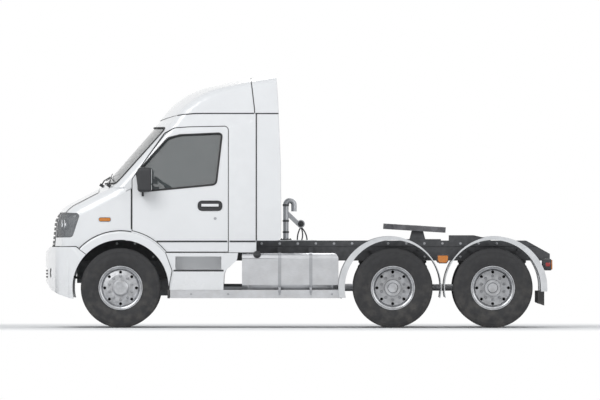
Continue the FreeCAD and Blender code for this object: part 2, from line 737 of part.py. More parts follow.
def fifth_wheel():
    """The tilting coupling plate, and the base that carries its pivot."""
    base = new_body("PlateBase")
    floor = "sizes.rail_top"
    add_pad(base, "XY_Plane", floor, rectangle(PIVOT_X + " - 150", "-440", PIVOT_X + " + 315", "440"), "20")
    for start in ("300", "-380"):
        add_pad(base, "XZ_Plane", start, [
            (PIVOT_X + " - 105", floor + " + 20"), (PIVOT_X + " + 105", floor + " + 20"),
            (PIVOT_X + " + 70", "sizes.pivot_z + 38"), (PIVOT_X + " - 70", "sizes.pivot_z + 38"),
        ], "80")
    for start in ("235", "-300"):
        add_round_pad(base, "XZ_Plane", start, [(PIVOT_X, "sizes.pivot_z", "sizes.pivot_pin_radius")], "65")
    node(base, "fifth_wheel_base")

    plate = new_body("Plate")
    low, high = "sizes.plate_rise", "sizes.plate_thick"
    outline = [
        # a horseshoe seen from above: front to rear, then into the throat
        ("-466", "-250"), ("-420", "-360"), ("-330", "-430"), ("-180", "-sizes.plate_half"),
        ("90", "-sizes.plate_half"), ("300", "-390"), ("378", "-340"), ("378", "-225"),
        ("110", "-70"), ("62", "-45"), ("62", "45"), ("110", "70"), ("378", "225"), ("378", "340"),
        ("300", "390"), ("90", "sizes.plate_half"), ("-180", "sizes.plate_half"), ("-330", "430"),
        ("-420", "360"), ("-466", "250"),
    ]
    add_pad(plate, "XY_Plane", low, outline, high)
    hollows = [
        # pockets under the plate, inside its ribs
        [("-440", "-235"), ("-310", "-405"), ("-90", "-425"), ("-90", "-60"), ("-440", "-60")],
        [("-40", "-315"), ("-40", "-425"), ("80", "-425"), ("290", "-365"), ("345", "-315")],
        [("-40", "-215"), ("-40", "-90"), ("90", "-90"), ("300", "-215")],
        # room over the base's uprights when the plate tilts
        [("-125", "-392"), ("-125", "-292"), ("125", "-292"), ("125", "-392")],
    ]
    for hollow in hollows:
        for corners in (hollow, [(x, "-(%s)" % y) for x, y in hollow]):
            add_cut(plate, "XY_Plane", low + " - 1", high + " - 17", corners)
    for start in ("240", "-290"):
        add_pad(plate, "XZ_Plane", start, [
            ("-75", low + " + 10"), ("-42", "-30"), ("42", "-30"), ("75", low + " + 10"),
        ], "50")
        add_cut(plate, "XZ_Plane", start + " - 10", "70",
                circles=[("0", "0", "sizes.pivot_pin_radius + sizes.shaft_gap")])
    add_cut(plate, "XY_Plane", low + " - 1", high + " + 2",
            circles=[("0", "0", "sizes.kingpin_hole_radius")])
    node(plate, "fifth_wheel_plate")
    plate.Placement = Placement(Vector(0, 0, 0), Rotation(Vector(0, 1, 0), size("plate_angle")))
    plate.setExpression("Placement.Base.x", PIVOT_X)
    plate.setExpression("Placement.Base.z", "sizes.pivot_z")

    ramp = new_body("Ramp")
    start = PIVOT_X + " + 430"
    add_pad(ramp, "XZ_Plane", "sizes.rail_half - sizes.rail_flange", [
        (start, floor), (start, floor + " + 72"), (start + " + 340", floor + " + 72"),
        (start + " + 560", floor + " + 20"), (start + " + 560", floor),
    ], "sizes.rail_flange")
    pair("pickup_ramps", ramp)


# ---------------------------------------------------------------- cab: shared volumes

def ahead(distance):
    """A place along the vehicle, given as its distance behind the front axle."""
    return size("front_axle_x") + distance


def rounded_face(corners, lift):
    """A flat face through corners (across, up, corner radius), set in space by lift."""
    count = len(corners)
    flat = [Vector(across, up, 0) for across, up, _ in corners]
    ends = []
    for index in range(count):
        here = flat[index]
        back = (flat[index - 1] - here).normalize()
        onward = (flat[(index + 1) % count] - here).normalize()
        radius = corners[index][2]
        half = back.getAngle(onward) / 2.0
        reach = radius / math.tan(half) if radius else 0.0
        middle = here
        if radius:
            inwards = (back + onward).normalize()
            middle = here + inwards * (radius / math.sin(half) - radius)
        ends.append((here + back * reach, middle, here + onward * reach))
    edges = []
    for index in range(count):
        start, middle, end = ends[index]
        if corners[index][2]:
            edges.append(Part.Arc(lift(start), lift(middle), lift(end)).toShape())
        following = ends[(index + 1) % count][0]
        if (following - end).Length > 1e-6:
            edges.append(Part.LineSegment(lift(end), lift(following)).toShape())
    return Part.Face(Part.Wire(edges))


def side_face(corners):
    """A face seen from the side: corners are distances behind the front axle, heights and radii."""
    placed = [(ahead(across), up, radius) for across, up, radius in corners]
    return rounded_face(placed, lambda spot: Vector(spot.x, 0, spot.y))


def run_across(face, low, high):
    """Run a side face across the vehicle, from one width to another."""
    moved = face.copy()
    moved.translate(Vector(0, low, 0))
    return moved.extrude(Vector(0, high - low, 0))


def block(low, high):
    """A plain block between two opposite corners, the first number behind the front axle."""
    length, width, height = (high[index] - low[index] for index in range(3))
    return Part.makeBox(length, width, height, Vector(ahead(low[0]), low[1], low[2]))


def wheel_drum(radius, low, high):
    """A drum about the front axle's line, from one width to another."""
    centre = Vector(ahead(0), low, size("tyre_diameter") / 2.0)
    return Part.makeCylinder(radius, high - low, centre, Vector(0, 1, 0))


def on_both_sides(shape):
    """A shape and its mirror image as one."""
    return Part.makeCompound([shape, shape.mirror(Vector(0, 0, 0), Vector(0, 1, 0))])


def side_circle():
    """Centre and radius of the arc that every cross-section of the cab follows."""
    low, waist, high = (Vector(size("cab_half_sill"), 950, 0), Vector(size("cab_half"), 1600, 0),
                        Vector(size("cab_half_roof"), size("seam_z"), 0))
    curve = Part.Arc(low, waist, high).toShape().Curve
    return curve.Center, curve.Radius


def side_y(height, inset=0.0):
    """Half-width of the cab at a height."""
    centre, radius = side_circle()
    return centre.x + math.sqrt((radius - inset) ** 2 - (height - centre.y) ** 2)


def cross_section(inset, low, high):
    """The cab's cross-section, run along the vehicle between two distances."""
    levels = (900.0, 2200.0, 3500.0)
    port = [Vector(ahead(low), -side_y(level, inset), level) for level in levels]
    starboard = [Vector(spot.x, -spot.y, spot.z) for spot in port]
    wire = Part.Wire([
        Part.Arc(*port).toShape(), Part.LineSegment(port[2], starboard[2]).toShape(),
        Part.Arc(*reversed(starboard)).toShape(), Part.LineSegment(starboard[0], port[0]).toShape(),
    ])
    return Part.Face(wire).extrude(Vector(high - low, 0, 0))


def swept_in_plan(pieces, inset, low, high, fillet):
    """Turn a side profile about an upright axis behind the cab, and trim it to the cross-section.

    A piece is two ends and, for an arc, a point between them: distances behind the front
    axle and heights. The profile runs from low at the front over the top to the axis.
    """
    axis_x = size("plan_axis_x")
    edges = []
    for piece in pieces:
        spots = [Vector(ahead(across), 0, up) for across, up in piece]
        maker = Part.Arc if len(spots) == 3 else Part.LineSegment
        edges.append(maker(*spots).toShape())
    first = edges[0].valueAt(edges[0].FirstParameter)
    last = edges[-1].valueAt(edges[-1].LastParameter)
    top = Vector(axis_x + inset, 0, last.z + 100)
    bottom = Vector(axis_x + inset, 0, first.z)
    for start, end in ((last, top), (top, bottom), (bottom, first)):
        edges.append(Part.LineSegment(start, end).toShape())
    face = Part.Face(Part.Wire(edges))
    if inset:
        face = face.makeOffset2D(-inset, join=2)
    upright = Vector(0, 0, 1)
    face.rotate(Vector(axis_x, 0, 0), upright, -60)
    turned = face.revolve(Vector(axis_x, 0, 0), upright, 120)
    solid = Part.Solid(turned) if not turned.Solids else turned.Solids[0]
    if solid.Volume < 0:
        solid.reverse()
    solid = solid.common(block((low, -1500, 500), (high, 1500, 4000)))
    solid = solid.common(cross_section(inset, low - 100, high + 100)).Solids[0]
    if fillet > inset:
        edges = []
        for side in solid.Faces:
            if side.Surface.TypeId == "Part::GeomCylinder" and abs(side.Surface.Axis.x) > 0.99:
                edges += [edge for edge in side.Edges if edge_of_shoulder(edge, high)]
        solid = solid.makeFillet(fillet - inset, edges)
    return solid


def edge_of_shoulder(edge, high):
    """True for an edge between the cab's side and its front or top."""
    box_of_edge = edge.BoundBox
    sloped = box_of_edge.XLength > 5 and box_of_edge.ZLength > 5
    upright = box_of_edge.XLength < 5 and box_of_edge.XMax < ahead(high) - 500
    return (sloped or upright) and box_of_edge.ZMax > 1000


NOSE_PROFILE = (
    ((-939, 900), (-939, 1091)),
    ((-939, 1091), (-909, 1398)),
    ((-909, 1398), (-844, 1550), (-735, 1651)),
    ((-735, 1651), (402, 2259)),
)
CAB_PROFILE = (
    ((-1056, 985), (519, 2785)),
    ((519, 2785), (708, 3008), (1207, 3258)),
    ((1207, 3258), (1602, 3344), (2162, 3444)),
)


def nose_volume(inset=0.0):
    """The bonnet, wings and front as one closed volume, drawn in by an inset."""
    return swept_in_plan(NOSE_PROFILE, inset, -1600, 302, size("shoulder_fillet"))


def cab_volume(inset=0.0):
    """The cab and its roof fairing as one closed volume, drawn in by an inset."""
    return swept_in_plan(CAB_PROFILE, inset, -1600, 2162, size("roof_fillet"))


# ---------------------------------------------------------------- cab: outlines from the side

DOOR = (
    # distance behind the front axle, height, corner radius
    (149, 900, 0), (1460, 900, 0), (1460, 2728, 60), (937, 2719, 0), (735, 2706, 90),
    (590, 2632, 90), (149, 2010, 60),
)
WINDOW = (
    (215, 2090, 45), (252, 1836, 45), (1072, 1914, 60), (1288, 1935, 70), (1370, 2628, 50),
    (802, 2603, 120), (634, 2560, 110),
)
SEAM = ((532, 2797), (802, 2872), (1072, 2893))
BUMPER = (
    (-1027, 632, 0), (-1027, 1020, 20), (-953, 1091, 20), (-602, 1091, 40), (-400, 943, 0),
    (-400, 300, 0), (-560, 383, 0), (-692, 402, 40), (-845, 456, 60), (-942, 510, 60),
)
LAMP = ((-1100, 1212, 0), (-650, 1222, 50), (-545, 1545, 40), (-760, 1556, 0), (-1100, 1556, 0))
SCREEN = (
    # distance from the middle, height, corner radius
    (-1015, 1945, 90), (1015, 1945, 90), (945, 2700, 110), (-945, 2700, 110),
)
DEFLECTOR = (
    (1832, 1178, 0), (2162, 1178, 60), (2166, 1455, 300), (2160, 2198, 300), (2130, 2893, 0), (1832, 2893, 0),
)
STEP_FRONT = ((650, 512, 0), (700, 772, 0), (612, 1011, 0))
STEP_REAR = (
    (1585, 1011, 0), (1572, 915, 60), (1500, 848, 0), (1420, 780, 60), (1396, 713, 60), (1387, 512, 0),
)


def front_to(corners, reach):
    """Close an open run of corners with two far ones, in front of it or behind it."""
    return list(corners) + [(reach, corners[-1][1], 0), (reach, corners[0][1], 0)]


def arch_radius():
    """Inner radius of the front wheel arch."""
    return size("tyre_diameter") / 2.0 + size("arch_gap")


def seam_cut(drop):
    """All that lies above the seam between cab and fairing, lowered by a drop."""
    spots = [Vector(ahead(across), 0, up - drop) for across, up in SEAM]
    far = 2400
    ring = [Vector(ahead(far), 0, spots[2].z), Vector(ahead(far), 0, 4000), Vector(ahead(-400), 0, 4000),
            Vector(ahead(-400), 0, spots[0].z - 160)]
    edges = [Part.Arc(*spots).toShape()]
    path = [spots[2]] + ring + [spots[0]]
    for start, end in zip(path, path[1:]):
        edges.append(Part.LineSegment(start, end).toShape())
    return run_across(Part.Face(Part.Wire(edges)), -1400, 1400)


def door_face(gap):
    """The door's outline, drawn in by a gap."""
    face = side_face(DOOR)
    return face.makeOffset2D(-gap) if gap else face


def door_prism(gap):
    """The door's outline run across the left side, clear of the wheel arch."""
    prism = run_across(door_face(gap), -1400, -side_y(2728.0, size("cab_wall")))
    flare = arch_radius() + size("flare_width") + size("flare_to_door")
    prism = prism.cut(wheel_drum(flare + gap, -1500, -700))
    return prism.cut(block((-100, -1500, 0), (2400, -700, size("sill_z") + gap)))


# ---------------------------------------------------------------- cab: pieces

def door_hole(outer, inner):
    """What the left door takes out of the cab's wall, leaving a lip for the door to close on.

    The lip stops short of the hinge, where the door's edge swings inwards a little.
    """
    seat = outer.cut(cab_volume(size("door_thick") + size("seat_gap"))).common(door_prism(0.0))
    hinge_side = door_prism(0.0).common(block((100, -1500, 0), (size("door_front") + 46, -700, 3000)))
    way_in = door_prism(size("door_lip")).fuse(hinge_side)
    return seat.fuse(outer.cut(inner).common(way_in))


def cab_shell(outer, inner, nose):
    """The cab's walls, floor, roof and windscreen frame in one pressing."""
    wall, sill = size("cab_wall"), size("sill_z")
    floor = size("rail_top") + size("seat_gap")
    pillar, cowl_low = size("pillar_front"), size("cowl_z")
    cowl_top, back = cowl_low + size("cowl_thick"), size("cab_rear")
    body = outer.common(block((pillar, -1300, sill), (back, 1300, 3000)).fuse(
        block((-400, -1300, cowl_low), (pillar + 1, 1300, 3000))))
    body = body.cut(seam_cut(0.0))
    room = inner.common(block((size("firewall"), -1300, floor + wall), (back - wall, 1300, 3000)).fuse(
        block((-400, -1300, cowl_top), (back - wall, 1300, 3000))))
    body = body.cut(room.cut(seam_cut(wall)))
    tunnel = size("tunnel_half")
    body = body.cut(block((-400, -tunnel, 0), (back + 10, tunnel, floor)))
    skin = nose.cut(nose_volume(size("wing_skin") + size("seat_gap")))
    body = body.cut(skin.common(block((-1300, -1300, 0), (size("door_front"), 1300, cowl_low))))
    body = body.cut(on_both_sides(door_hole(outer, inner)))
    screen = rounded_face(SCREEN, lambda spot: Vector(ahead(-500), spot.x, spot.y))
    body = body.cut(screen.extrude(Vector(1150, 0, 0)))
    body = body.cut(on_both_sides(arch_cutter()))
    return shaped("cab_shell", body.Solids)


def arch_cutter():
    """What the left wheel arch takes out of the body: the liner's drum and the flare's notch."""
    snug = size("seat_gap")
    drum = wheel_drum(arch_radius() + size("liner_sheet") + snug, -1400, -size("liner_inner_y") + snug)
    notch = wheel_drum(arch_radius() + size("flare_width") + snug, -1400,
                       -(size("flare_half") - size("flare_depth")) + snug)
    return drum.fuse(notch)


def roof_fairing(outer):
    """The fairing over the cab's roof, and the hoop that carries it back over the gap."""
    hollow = cab_volume(size("fairing_sheet"))
    above = outer.cut(hollow).common(seam_cut(-size("seat_gap")))
    split = (1754, 3500, 0), (1754, 3363, 0), (1805, 2940, 0), (1805, 2700, 0)
    front = above.common(run_across(side_face([(100, 2700, 0), (100, 3500, 0)] + list(split)), -1300, 1300))
    gap = size("panel_gap")
    behind = [(across + gap, up, radius) for across, up, radius in split]
    rear_edge = [(2132, 2700, 0), (2132, 2900, 0), (2119, 3143, 0), (2092, 3500, 60)]
    rear = above.common(run_across(side_face(behind + rear_edge), -1300, 1300))
    return shaped("roof_fairing", front.Solids + rear.Solids)


def side_deflectors():
    """The panels that close the gap behind the cab at each side."""
    snug = size("seat_gap")
    sheet = cross_section(0.0, size("cab_rear") + snug, 2300).cut(
        cross_section(size("fairing_sheet"), size("cab_rear") - 50, 2400))
    panel = sheet.common(run_across(side_face(DEFLECTOR), -1300, -700))
    panels = panel.Solids + panel.mirror(Vector(0, 0, 0), Vector(0, 1, 0)).Solids
    return shaped("side_deflectors", panels)


def windscreen():
    """The curved glass in the cab's front."""
    glass = cab_volume(3.0).cut(cab_volume(3.0 + size("glass_thick")))
    face = rounded_face(SCREEN, lambda spot: Vector(ahead(-500), spot.x, spot.y))
    face = face.makeOffset2D(-size("seat_gap"))
    return shaped("windscreen", glass.common(face.extrude(Vector(1150, 0, 0))).Solids)


def doors(outer):
    """Each door with its window; its inner part is set in from the edge, to swing clear."""
    gap, rebate, thick = size("door_gap"), size("door_rebate"), size("door_thick")
    window = side_face(WINDOW)
    middle = cab_volume(rebate)
    panel = outer.cut(middle).common(door_prism(gap))
    panel = panel.fuse(middle.cut(cab_volume(thick)).common(door_prism(gap + rebate / 2.0)))
    panel = panel.cut(run_across(window, -1400, -800))
    setback = size("glass_setback")
    pane = cab_volume(setback).cut(cab_volume(setback + size("glass_thick")))
    pane = pane.common(run_across(window.makeOffset2D(-size("seat_gap")), -1400, -800))
    flip = (Vector(0, 0, 0), Vector(0, 1, 0))
    for name, shape in (("door", panel), ("door_glass", pane)):
        shaped(name + "_left", shape.Solids)
        shaped(name + "_right", shape.mirror(*flip).Solids)


def mirrors():
    """A mirror on each door, on a short arm from below the window."""
    for side, sign in (("left", "-"), ("right", "")):
        mirror = new_body("Mirror")
        face = "sizes.mirror_inner_y"
        start = face if sign else "-(%s + sizes.mirror_width)" % face
        add_pad(mirror, "XZ_Plane", start,
                rectangle("sizes.front_axle_x + 230", "1833", "sizes.front_axle_x + 419", "2164"),
                "sizes.mirror_width")
        add_rounding(mirror, "45", lambda edge: True)
        skin = "%s%.3f" % (sign, side_y(1775.0) + size("seat_gap"))
        near = sign + "(sizes.mirror_inner_y + 70)"
        far = sign + "(sizes.mirror_inner_y + 100)"
        add_pad(mirror, "YZ_Plane", "sizes.front_axle_x + 285", [
            (skin, "1775"), (skin, "1805"), (near, "1805"), (near, "1870"), (far, "1870"), (far, "1775"),
        ], "30")
        node(mirror, "mirror_" + side)


def front_end(nose):
    """Bonnet, grille, headlamps and wings, cut from one skin."""
    snug, gap = size("seat_gap"), size("panel_gap")
    half, top_z = size("bonnet_half"), size("bonnet_front_z")
    rear = size("bonnet_rear")
    outer = nose
    lid_room = block((-1200, -half, top_z), (rear, half, 2400))
    lid = outer.cut(nose_volume(size("bonnet_thick"))).common(lid_room)
    shaped("bonnet", lid.Solids)
    lamp_room = run_across(side_face(LAMP), -1300, -size("lamp_inner_face"))
    lamp = outer.cut(nose_volume(size("lamp_depth"))).common(lamp_room)
    shaped("headlamps", on_both_sides(lamp).Solids)
    grille_room = block((-1200, -size("grille_half"), 1100), (-500, size("grille_half"), top_z - gap))
    grille = nose_volume(12.0).cut(nose_volume(52.0)).common(grille_room)
    shaped("grille", grille.Solids)
    skin = outer.cut(nose_volume(size("wing_skin")))
    skin = skin.common(block((-1200, -1300, 960), (size("door_front"), 1300, size("cowl_z") - snug)))
    skin = skin.cut(block((-1200, -half - gap, top_z - gap), (rear + gap, half + gap, 2400)))
    thick = size("bonnet_thick")
    ledge = nose_volume(size("wing_skin") - 1).cut(nose_volume(thick + 15))
    ledge = ledge.common(block((-1200, -half - 40, top_z - 30), (rear, -half + 30, 2400)))
    lid_seat = outer.cut(nose_volume(thick + snug)).common(block((-1200, -half - gap, top_z - gap),
                                                                 (rear + gap, 0, 2400)))
    skin = skin.fuse(on_both_sides(ledge.cut(lid_seat)).Solids)
    wider_lamp = run_across(side_face(LAMP).makeOffset2D(snug), -1300, -size("lamp_inner_face") + snug)
    skin = skin.cut(on_both_sides(wider_lamp))
    wide = size("grille_half") + snug
    skin = skin.cut(block((-1200, -wide, 700), (-300, wide, top_z)))
    skin = skin.cut(run_across(side_face(BUMPER).makeOffset2D(snug), -1400, 1400))
    skin = skin.cut(on_both_sides(arch_cutter()))
    skin = skin.cut(block((-1200, -1300, 600), (-300, 1300, 1040)))
    shaped("front_wings", skin.Solids)


def front_bumper():
    """A bumper that wraps round to the wheel arches, open behind."""
    half = size("flare_half")
    radius = size("plan_axis_x") - size("front_axle_x") - BUMPER[0][0]
    centre = Vector(size("plan_axis_x"), 0, 0)
    whole = run_across(side_face(BUMPER), -half, half)
    plan = Part.makeCylinder(radius, 1500, centre, Vector(0, 0, 1))
    whole = whole.common(plan).Solids[0]
    corners = []
    for edge in whole.Edges:
        spot = edge.BoundBox
        if abs(abs(spot.Center.y) - half) < 2 and spot.ZLength > 60 and spot.XMax < ahead(-700) and spot.XLength < 5:
            corners.append(edge)
    whole = whole.makeFillet(size("bumper_corner"), corners)
    hollow = Part.makeCylinder(radius - size("bumper_depth"), 1500, centre, Vector(0, 0, 1))
    wide = size("bumper_inner_half")
    whole = whole.cut(hollow.common(block((-1100, -wide, 0), (0, wide, 1500))))
    whole = whole.cut(wheel_drum(arch_radius(), -1400, 1400))
    return shaped("front_bumper", whole.Solids)


def arch_flares():
    """A liner over each front wheel with a broad flare at its outer end."""
    inner, outer_y = arch_radius(), size("flare_half")
    sheet, width, depth = size("liner_sheet"), size("flare_width"), size("flare_depth")
    liner = wheel_drum(inner + sheet, -outer_y, -size("liner_inner_y"))
    band = wheel_drum(inner + width, -outer_y, -(outer_y - depth))
    ring = liner.fuse(band)
    rims = [edge for edge in ring.Edges if abs(edge.BoundBox.YMin + outer_y) < 0.01
            and edge.BoundBox.YLength < 0.01 and edge.BoundBox.XLength > 100]
    ring = ring.makeFillet(24.0, rims)
    ring = ring.cut(wheel_drum(inner, -outer_y - 1, -size("liner_inner_y") + 1))
    gap = size("panel_gap")
    ring = ring.cut(run_across(side_face(front_to([(x - gap, z, r) for x, z, r in STEP_FRONT], 1500)), -1400, -700))
    ring = ring.cut(block((-900, -1400, -900), (900, -700, size("skirt_z") + 5)))
    ring = ring.cut(run_across(side_face(front_to(((-400, 943, 0), (-602, 1091, 0)), -1200)), -1400, -700))
    ring = ring.cut(block((-1100, -1400, 0), (-300, -700, 943)))
    return shaped("arch_flares", on_both_sides(ring).Solids)


def cab_steps():
    """The step fairing below each door, with a tread set into it."""
    outer_y, inner_y = size("step_outer_y"), size("tank_inner_y") + 100
    room = run_across(side_face(list(STEP_FRONT) + list(STEP_REAR)), -outer_y, -inner_y)
    room = room.cut(wheel_drum(arch_radius() + size("liner_sheet") + size("seat_gap"), -1400, -500))
    tread = size("tread_z")
    room = room.cut(block((740, -1400, tread), (1360, -outer_y + size("tread_depth"), tread + 190)))
    return shaped("cab_steps", on_both_sides(room).Solids)


def hose_stand():
    """The swan-necked post behind the cab, with the arm that parks the trailer couplings."""
    post_x = ahead(size("post_x"))
    foot, bend = size("rail_top") + size("deck_sheet"), size("neck_radius")
    top = size("neck_z")
    tube = size("post_radius")
    path = Part.Wire([
        Part.LineSegment(Vector(post_x, 0, foot), Vector(post_x, 0, top)).toShape(),
        Part.Arc(Vector(post_x, 0, top), Vector(post_x + bend, 0, top + bend),
                 Vector(post_x + 2 * bend, 0, top)).toShape(),
        Part.LineSegment(Vector(post_x + 2 * bend, 0, top), Vector(post_x + 2 * bend, 0, top - 90)).toShape(),
    ])
    ring = Part.Wire(Part.Circle(Vector(post_x, 0, foot), Vector(0, 0, 1), tube).toShape())
    post = path.makePipeShell([ring], True, False)
    arm = Part.makeBox(230, 24, 60, Vector(0, -12, -30))
    arm.rotate(Vector(0, 0, 0), Vector(0, 1, 0), 44)
    arm.translate(Vector(post_x + 8, 0, 1556))
    palm = Part.makeCylinder(size("palm_radius"), 60, Vector(ahead(2434), -30, 1401), Vector(0, 1, 0))
    return shaped("hose_stand", post.fuse(arm).fuse(palm).removeSplitter().Solids)


def air_hoses():
    """Three hoses from the parked couplings down to the frame."""
    gap, middle_x = size("seat_gap"), ahead(2434)
    start_z = 1401 - size("palm_radius") + 12
    floor = size("rail_top") + size("deck_sheet")
    palm = Part.makeCylinder(size("palm_radius") + gap, 80, Vector(middle_x, -40, 1401), Vector(0, 1, 0))
    deck = Part.makeBox(400, 120, 60, Vector(middle_x - 200, -60, floor + gap - 60))
    hoses = []
    for width, reach in ((-22, -48), (0, 8), (22, 84)):
        low = Vector(middle_x + reach, width, floor - 12)
        high = Vector(middle_x, width, start_z)
        middle = (low + high) * 0.5 + Vector(18 if reach > 0 else -12, 0, 12)
        path = Part.Wire([Part.Arc(high, middle, low).toShape()])
        along = path.Edges[0].tangentAt(path.Edges[0].FirstParameter)
        ring = Part.Wire(Part.Circle(high, along, 9.0).toShape())
        tube = path.makePipeShell([ring], True, False).cut(palm).cut(deck)
        hoses += sorted(tube.Solids, key=lambda piece: piece.Volume)[-1:]
    return shaped("air_hoses", hoses)


# ---------------------------------------------------------------- cab: inside

def seats():
    """Two seats, each a cushion and a back on its pedestal."""
    seat = new_body("Seat")
    add_pad(seat, "XZ_Plane", "280", [
        ("sizes.front_axle_x + 960", CAB_FLOOR), ("sizes.front_axle_x + 1360", CAB_FLOOR),
        ("sizes.front_axle_x + 1360", "1400"), ("sizes.front_axle_x + 1420", "1400"),
        ("sizes.front_axle_x + 1560", "2100"), ("sizes.front_axle_x + 1500", "2290"),
        ("sizes.front_axle_x + 1420", "2290"), ("sizes.front_axle_x + 1300", "1560"),
        ("sizes.front_axle_x + 860", "1540"), ("sizes.front_axle_x + 850", "1430"),
        ("sizes.front_axle_x + 960", "1400"),
    ], "500")
    add_rounding(seat, "30", lambda edge: edge.BoundBox.YLength > 400 and edge.BoundBox.ZMin > 1410)
    pair("seats", seat)


def dashboard():
    """The fascia across the cab, below the windscreen."""
    fascia = new_body("Dashboard")
    face = "sizes.front_axle_x + sizes.firewall + sizes.seat_gap"
    add_pad(fascia, "XZ_Plane", "-980", [
        (face, "1450"), (face, "1985"), (face + " + 90", "1985"), (face + " + 250", "1880"),
        (face + " + 270", "1700"), (face + " + 120", "1450"),
    ], "1960")
    DOC.recompute()
    return node(fascia, "dashboard").Shape


def steering_wheel(fascia):
    """The driver's wheel on its column, which ends at the fascia."""
    tilt = Rotation(Vector(0, 1, 0), 36)
    ring = Part.makeTorus(size("wheel_radius"), 15, Vector(0, 0, 0), Vector(0, 0, 1))
    parts = [Part.makeCylinder(50, 34, Vector(0, 0, -34)), Part.makeCylinder(24, 420, Vector(0, 0, -430))]
    for turn in (30, 150, 270):
        spoke = Part.makeBox(size("wheel_radius"), 30, 10, Vector(0, -15, -22))
        spoke.rotate(Vector(0, 0, 0), Vector(0, 0, 1), turn)
        parts.append(spoke)
    whole = ring.multiFuse(parts).removeSplitter()
    whole.Placement = Placement(Vector(ahead(640), -530, 1900), tilt)
    pieces = sorted(whole.cut(fascia).Solids, key=lambda piece: piece.Volume)
    return shaped("steering_wheel", pieces[-1:])


# ---------------------------------------------------------------- build

def check_and_write():
    """Stop on any failed object, then write each node to its own file."""
    DOC.recompute()
    for thing in DOC.Objects:
        if "Invalid" in thing.State or "Error" in thing.State:
            raise RuntimeError("failed: %s %s" % (thing.Name, thing.Label))
        if thing.TypeId == "PartDesign::Pocket" and thing.BaseFeature.Shape.Volume - thing.Shape.Volume < 1.0:
            raise RuntimeError("cuts nothing: %s" % thing.Name)
    os.makedirs("parts", exist_ok=True)
    for thing in NODES:
        shape = thing.Shape
        if shape.isNull() or not shape.isValid() or not shape.Solids:
            raise RuntimeError("bad shape: %s" % thing.Label)
        shape.exportStep(os.path.join("parts", thing.Label + ".step"))
        print("%-24s %2d solids %8.4f m3" % (thing.Label, len(shape.Solids), shape.Volume / 1e9))


def main():
    """Build every sub-part in turn."""
    fill_sheet()
    front_wheels()
    drive_wheels()
    frame_rails()
    cross_members()
    chassis_brackets()
    engine()
    front_axle()
    leaf_springs()
    knuckles()
    drive_axles()
    air_springs()
    propeller_shafts()
    fuel_tanks()
    side_guards()
    rear_mudguards()
    mud_flaps()
    lamps()
    deck_plate()
    fifth_wheel()
    outer, inner = cab_volume(), cab_volume(size("cab_wall"))
    nose = nose_volume()
    cab_shell(outer, inner, nose)
    roof_fairing(outer)
    side_deflectors()
    windscreen()
    doors(outer)
    mirrors()
    front_end(nose)
    front_bumper()
    arch_flares()
    cab_steps()
    hose_stand()
    air_hoses()
    seats()
    steering_wheel(dashboard())
    check_and_write()


main()
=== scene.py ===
"""The looks of a tractor unit for semi-trailers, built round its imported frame.

Lengths are in metres: +X to the rear, -Y the driver's side, +Z up from the ground.
"""

from __future__ import annotations

import json
import logging
import math
from dataclasses import dataclass
from enum import Enum
from typing import Any, Callable, Sequence

import bpy
from mathutils import Matrix, Vector

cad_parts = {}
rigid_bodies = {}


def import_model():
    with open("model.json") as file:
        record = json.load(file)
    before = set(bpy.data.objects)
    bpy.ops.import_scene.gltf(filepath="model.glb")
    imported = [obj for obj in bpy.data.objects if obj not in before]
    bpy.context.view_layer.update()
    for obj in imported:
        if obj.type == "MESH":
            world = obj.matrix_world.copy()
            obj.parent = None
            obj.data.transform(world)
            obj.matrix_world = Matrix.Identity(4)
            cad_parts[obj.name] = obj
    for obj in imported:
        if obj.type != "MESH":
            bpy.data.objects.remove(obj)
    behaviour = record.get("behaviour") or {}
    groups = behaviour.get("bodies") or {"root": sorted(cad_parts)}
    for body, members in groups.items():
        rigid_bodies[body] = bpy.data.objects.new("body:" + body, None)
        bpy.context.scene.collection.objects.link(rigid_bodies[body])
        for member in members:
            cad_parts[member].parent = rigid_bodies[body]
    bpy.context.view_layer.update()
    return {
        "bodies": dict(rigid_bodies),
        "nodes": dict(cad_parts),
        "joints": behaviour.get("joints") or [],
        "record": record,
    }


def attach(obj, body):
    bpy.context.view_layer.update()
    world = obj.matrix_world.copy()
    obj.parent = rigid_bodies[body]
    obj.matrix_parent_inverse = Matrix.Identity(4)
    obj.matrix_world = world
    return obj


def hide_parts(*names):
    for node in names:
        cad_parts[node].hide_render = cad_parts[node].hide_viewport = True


LOG = logging.getLogger("tractor")

Point = tuple[float, float, float]
Flat = tuple[float, float]
Profile = tuple[Flat, ...]
Outline = Sequence[Flat]
# Places of an outline's corners in its two directions, each with its corner radius.
Corners = tuple[tuple[float, float, float], ...]
Test = Callable[[Any], bool]
Path = Sequence[Sequence[float]]
Piece = bpy.types.Object

LEFT, RIGHT = -1.0, 1.0
SIDES = (("left", LEFT), ("right", RIGHT))
CHASSIS = ("chassis", "chassis")
DOORS = ("left_door", "right_door")

UP = (0.0, 0.0, 1.0)
BACKWARDS = (1.0, 0.0, 0.0)
OUTWARDS = (0.0, LEFT, 0.0)

FRONT_AXLE = -2.402
AXLE_Z = 0.538
DRIVE_AXLES = (("front", 1.273), ("rear", 2.623))
# Where the upright axis lies that nose, windscreen and bumper curve about.
PLAN_AXIS = 0.7

WHITE = (0.8, 0.81, 0.82)
DUST = (0.36, 0.33, 0.29)
DUST_HEIGHTS = (1.15, 0.25)
COAT_ROUGHNESS = 0.06
# The part of a cloud's range that turns from dark to light.
CLOUD = (0.3, 0.7)

# Edges sharper than these, in degrees, stay sharp on each kind of piece.
BEVEL_ANGLE, SPIN_ANGLE, STRIP_ANGLE, SHEET_ANGLE = 35.0, 32.0, 50.0, 30.0
# The least angle, in degrees, of an edge that is bevelled.
BEVELLED_FROM = 40.0


# ---- shader maths


